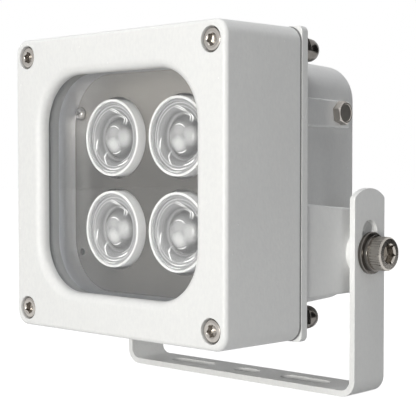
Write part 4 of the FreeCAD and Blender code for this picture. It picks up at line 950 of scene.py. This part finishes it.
# %% [markdown]
# ## Castings, bracket and lens plate
# The large pieces come from the frame as loose triangles with edges as sharp as a knife. Paint never
# leaves such an edge. A copy is welded together, its flat faces are joined again, and a narrow bevel
# rounds each edge, so that it catches a line of light. Weighted normals let the flat faces look flat.

# %% Weld, join and ease the edges
# Degrees: faces this flat to each other are one, edges above the second are rounded, and
# shading is smooth up to the third.
FLAT_ANGLE, EDGE_ANGLE, EASED_SMOOTH = 0.5, 35, 30
EASE_SEGMENTS, NORMAL_WEIGHT = 2, 50


def welded(node):
    """A copy of a node's mesh with its triangles joined into whole faces."""
    shape = bmesh.new()
    shape.from_mesh(nodes[node].data)
    bmesh.ops.remove_doubles(shape, verts=shape.verts, dist=WELD)
    bmesh.ops.dissolve_limit(shape, angle_limit=math.radians(FLAT_ANGLE), verts=shape.verts,
                             edges=shape.edges)
    mesh = bpy.data.meshes.new(node + "_made")
    shape.to_mesh(mesh)
    shape.free()
    return mesh


def eased(node, finish, width):
    """A copy of a node with its sharp edges rounded by width millimetres."""
    mesh = welded(node)
    mesh.materials.append(FINISHES[finish])
    for face in mesh.polygons:
        face.material_index = 0
    piece = bpy.data.objects.new(node + "_made", mesh)
    bpy.context.scene.collection.objects.link(piece)
    bevel = piece.modifiers.new("ease", "BEVEL")
    bevel.width, bevel.segments = width * MM, EASE_SEGMENTS
    bevel.limit_method, bevel.angle_limit = "ANGLE", math.radians(EDGE_ANGLE)
    bevel.use_clamp_overlap = True
    bevel.miter_outer = "MITER_ARC"
    mesh.shade_smooth()
    level = piece.modifiers.new("level", "WEIGHTED_NORMAL")
    level.weight, level.keep_sharp = NORMAL_WEIGHT, True
    ready = piece.evaluated_get(bpy.context.evaluated_depsgraph_get())
    piece.data = bpy.data.meshes.new_from_object(ready)
    piece.modifiers.clear()
    body = next(name for name, empty in frame["bodies"].items() if nodes[node].parent == empty)
    dress(piece, body, [node], EASED_SMOOTH)


EASED = (("front_housing", "white_casting", 0.35), ("rear_housing", "white_casting", 0.12),
         ("mounting_bracket", "white_steel", 0.35), ("lens_plate", "brushed_plate", 0.12))
for row in EASED:
    eased(*row)

# %% [markdown]
# ## What stays as the frame gives it
# The other nodes are simple parts whose shape is already right, nearly all of them inside. Each
# only takes its finish.

# %% Finishes for the nodes that stay
STAYS = {
    "clear_glass": ("front_glass",),
    "gasket_rubber": ("housing_gasket", "gland_washer", "gland_seal"),
    "bright_steel": ("plate_standoffs", "board_screws", "spreader_screws", "driver_screws"),
    "spreader_alloy": ("heat_spreader",),
    "led_phosphor": tuple("led_emitter_%d" % number for number in range(1, 5)),
    "board_white": ("led_board",),
    "board_green": ("driver_board",),
    "lead_sleeve": ("led_leads",),
    "ferrite": ("transformer_core",),
    "winding_tape": ("transformer_winding",),
    "choke_case": ("filter_choke",),
    "terminal_green": ("terminal_block",),
    "can_sleeve": ("bulk_capacitor", "output_capacitor"),
    "gland_black": ("gland_body", "gland_locknut"),
}
for finish, names in STAYS.items():
    for name in names:
        mesh = nodes[name].data
        mesh.materials.clear()
        mesh.materials.append(FINISHES[finish])
print("nodes kept:", sum(len(names) for names in STAYS.values()))

# %% [markdown]
# ## Floor and light
# The object stands on a pale floor before white. The world is white for the camera and for mirrors,
# and dimmer as a light. A soft lamp in front lights the face and only grazes the side, which keeps
# the side in half shade. A weak one far to the right lifts the side evenly, and a broad one above
# brings out the top edges.

# %% World and floor
AMBIENT = 0.15
FLOOR_GREY, FLOOR_CHANGE, FLOOR_CLOUD = 0.6, 0.01, 300.0
# Half the floor's side, and its height just under the bracket, in metres.
REACH, FLOOR_Z = 4.0, -0.0002


def seen_directly(wires):
    """1 for rays that look at a thing: from the camera, off a mirror or through glass."""
    rays = wires.node("ShaderNodeLightPath")
    total = Field(wires, rays.outputs["Is Camera Ray"]) + Field(wires, rays.outputs["Is Glossy Ray"])
    return (total + Field(wires, rays.outputs["Is Transmission Ray"])).math("MINIMUM", 1.0)


def stand_stage(name, corners, finish):
    """One flat sheet that belongs to the studio and not to the lamp."""
    mesh = bpy.data.meshes.new(name)
    mesh.from_pydata(corners, [], [(0, 1, 2, 3)])
    mesh.materials.append(finish.material)
    sheet = bpy.data.objects.new(name, mesh)
    bpy.context.scene.collection.objects.link(sheet)
    return sheet


world = bpy.data.worlds.new("studio")
world.use_nodes = True
bpy.context.scene.world = world
sky = Wires(world.node_tree)
backdrop = world.node_tree.nodes["Background"]
backdrop.inputs["Color"].default_value = grey(1.0)
sky.feed(backdrop.inputs["Strength"], seen_directly(sky) * (1 - AMBIENT) + AMBIENT)

paper = Finish("paper_floor", 0.9, Specular_IOR_Level=0.1)
paper.colour(paper.blend(paper.noise(FLOOR_CLOUD), grey(FLOOR_GREY + FLOOR_CHANGE),
                         grey(FLOOR_GREY - FLOOR_CHANGE)))
paper.shader.inputs["Emission Color"].default_value = grey(1.0)
glow = seen_directly(paper.wires) * (1.0 - FLOOR_GREY * AMBIENT)
paper.wires.feed(paper.shader.inputs["Emission Strength"], glow)
SQUARE = ((-1, -1), (1, -1), (1, 1), (-1, 1))
stand_stage("floor", [(REACH * x, REACH * y, FLOOR_Z) for x, y in SQUARE], paper)
print("floor", 2 * REACH, "m wide")

# %% Three soft lamps
LAMP_TARGET = (0, -0.03, 0.1)
# Name, place, side, watts and colour.
LAMPS = (
    ("key", (0.30, -1.17, 0.12), 0.34, 10.0, (1.0, 0.995, 0.96)),
    ("side", (1.15, 0.1, 0.5), 0.7, 0.9, (0.93, 0.97, 1.0)),
    ("overhead", (0.05, -0.3, 1.15), 0.8, 5.0, (0.98, 0.99, 1.0)),
)


def soft_lamp(name, place, side, watts, colour):
    light = bpy.data.lights.new(name, "AREA")
    light.shape, light.size, light.energy, light.color = "SQUARE", side, watts, colour
    lamp = bpy.data.objects.new(name, light)
    lamp.location = place
    way = Vector(LAMP_TARGET) - Vector(place)
    lamp.rotation_euler = way.to_track_quat("-Z", "Y").to_euler()
    bpy.context.scene.collection.objects.link(lamp)


for row in LAMPS:
    soft_lamp(*row)
print("lamps:", [row[0] for row in LAMPS])

# %% [markdown]
# ## A dark card for the steel
# In a white room polished steel has nothing dark to mirror and looks like plaster. A dark card to
# the right and behind, where the end faces of the bolts look, gives them their depth. Only mirrors
# see it: it throws no shadow and no camera view shows it.

# %% Stand the dark card
# The way from the lamp to the card, and the way along the card.
CARD_WAY, CARD_ALONG = Vector((0.68, 0.73, 0.0)), Vector((-0.73, 0.68, 0.0))
# How far it stands, its half width and half height in metres, and its shift along itself.
CARD_FAR, CARD_WIDE, CARD_HIGH, CARD_SHIFT = 0.75, 0.52, 0.34, 0.19
card_side, card_up = CARD_ALONG * CARD_WIDE, Vector((0.0, 0.0, CARD_HIGH))
card_middle = CARD_WAY * CARD_FAR - card_side * CARD_SHIFT + card_up
felt = Finish("grey_felt", 0.95, Specular_IOR_Level=0.0)
felt.colour(felt.blend(felt.noise(4.0), grey(0.06), grey(0.04)))
card = stand_stage("dark_card", [card_middle + card_side * a + card_up * b for a, b in SQUARE], felt)
for kind in ("camera", "diffuse", "shadow", "transmission", "volume_scatter"):
    setattr(card, "visible_" + kind, False)
print("dark card", "%.2f x %.2f m" % (card_side.length * 2, card_up.length * 2))
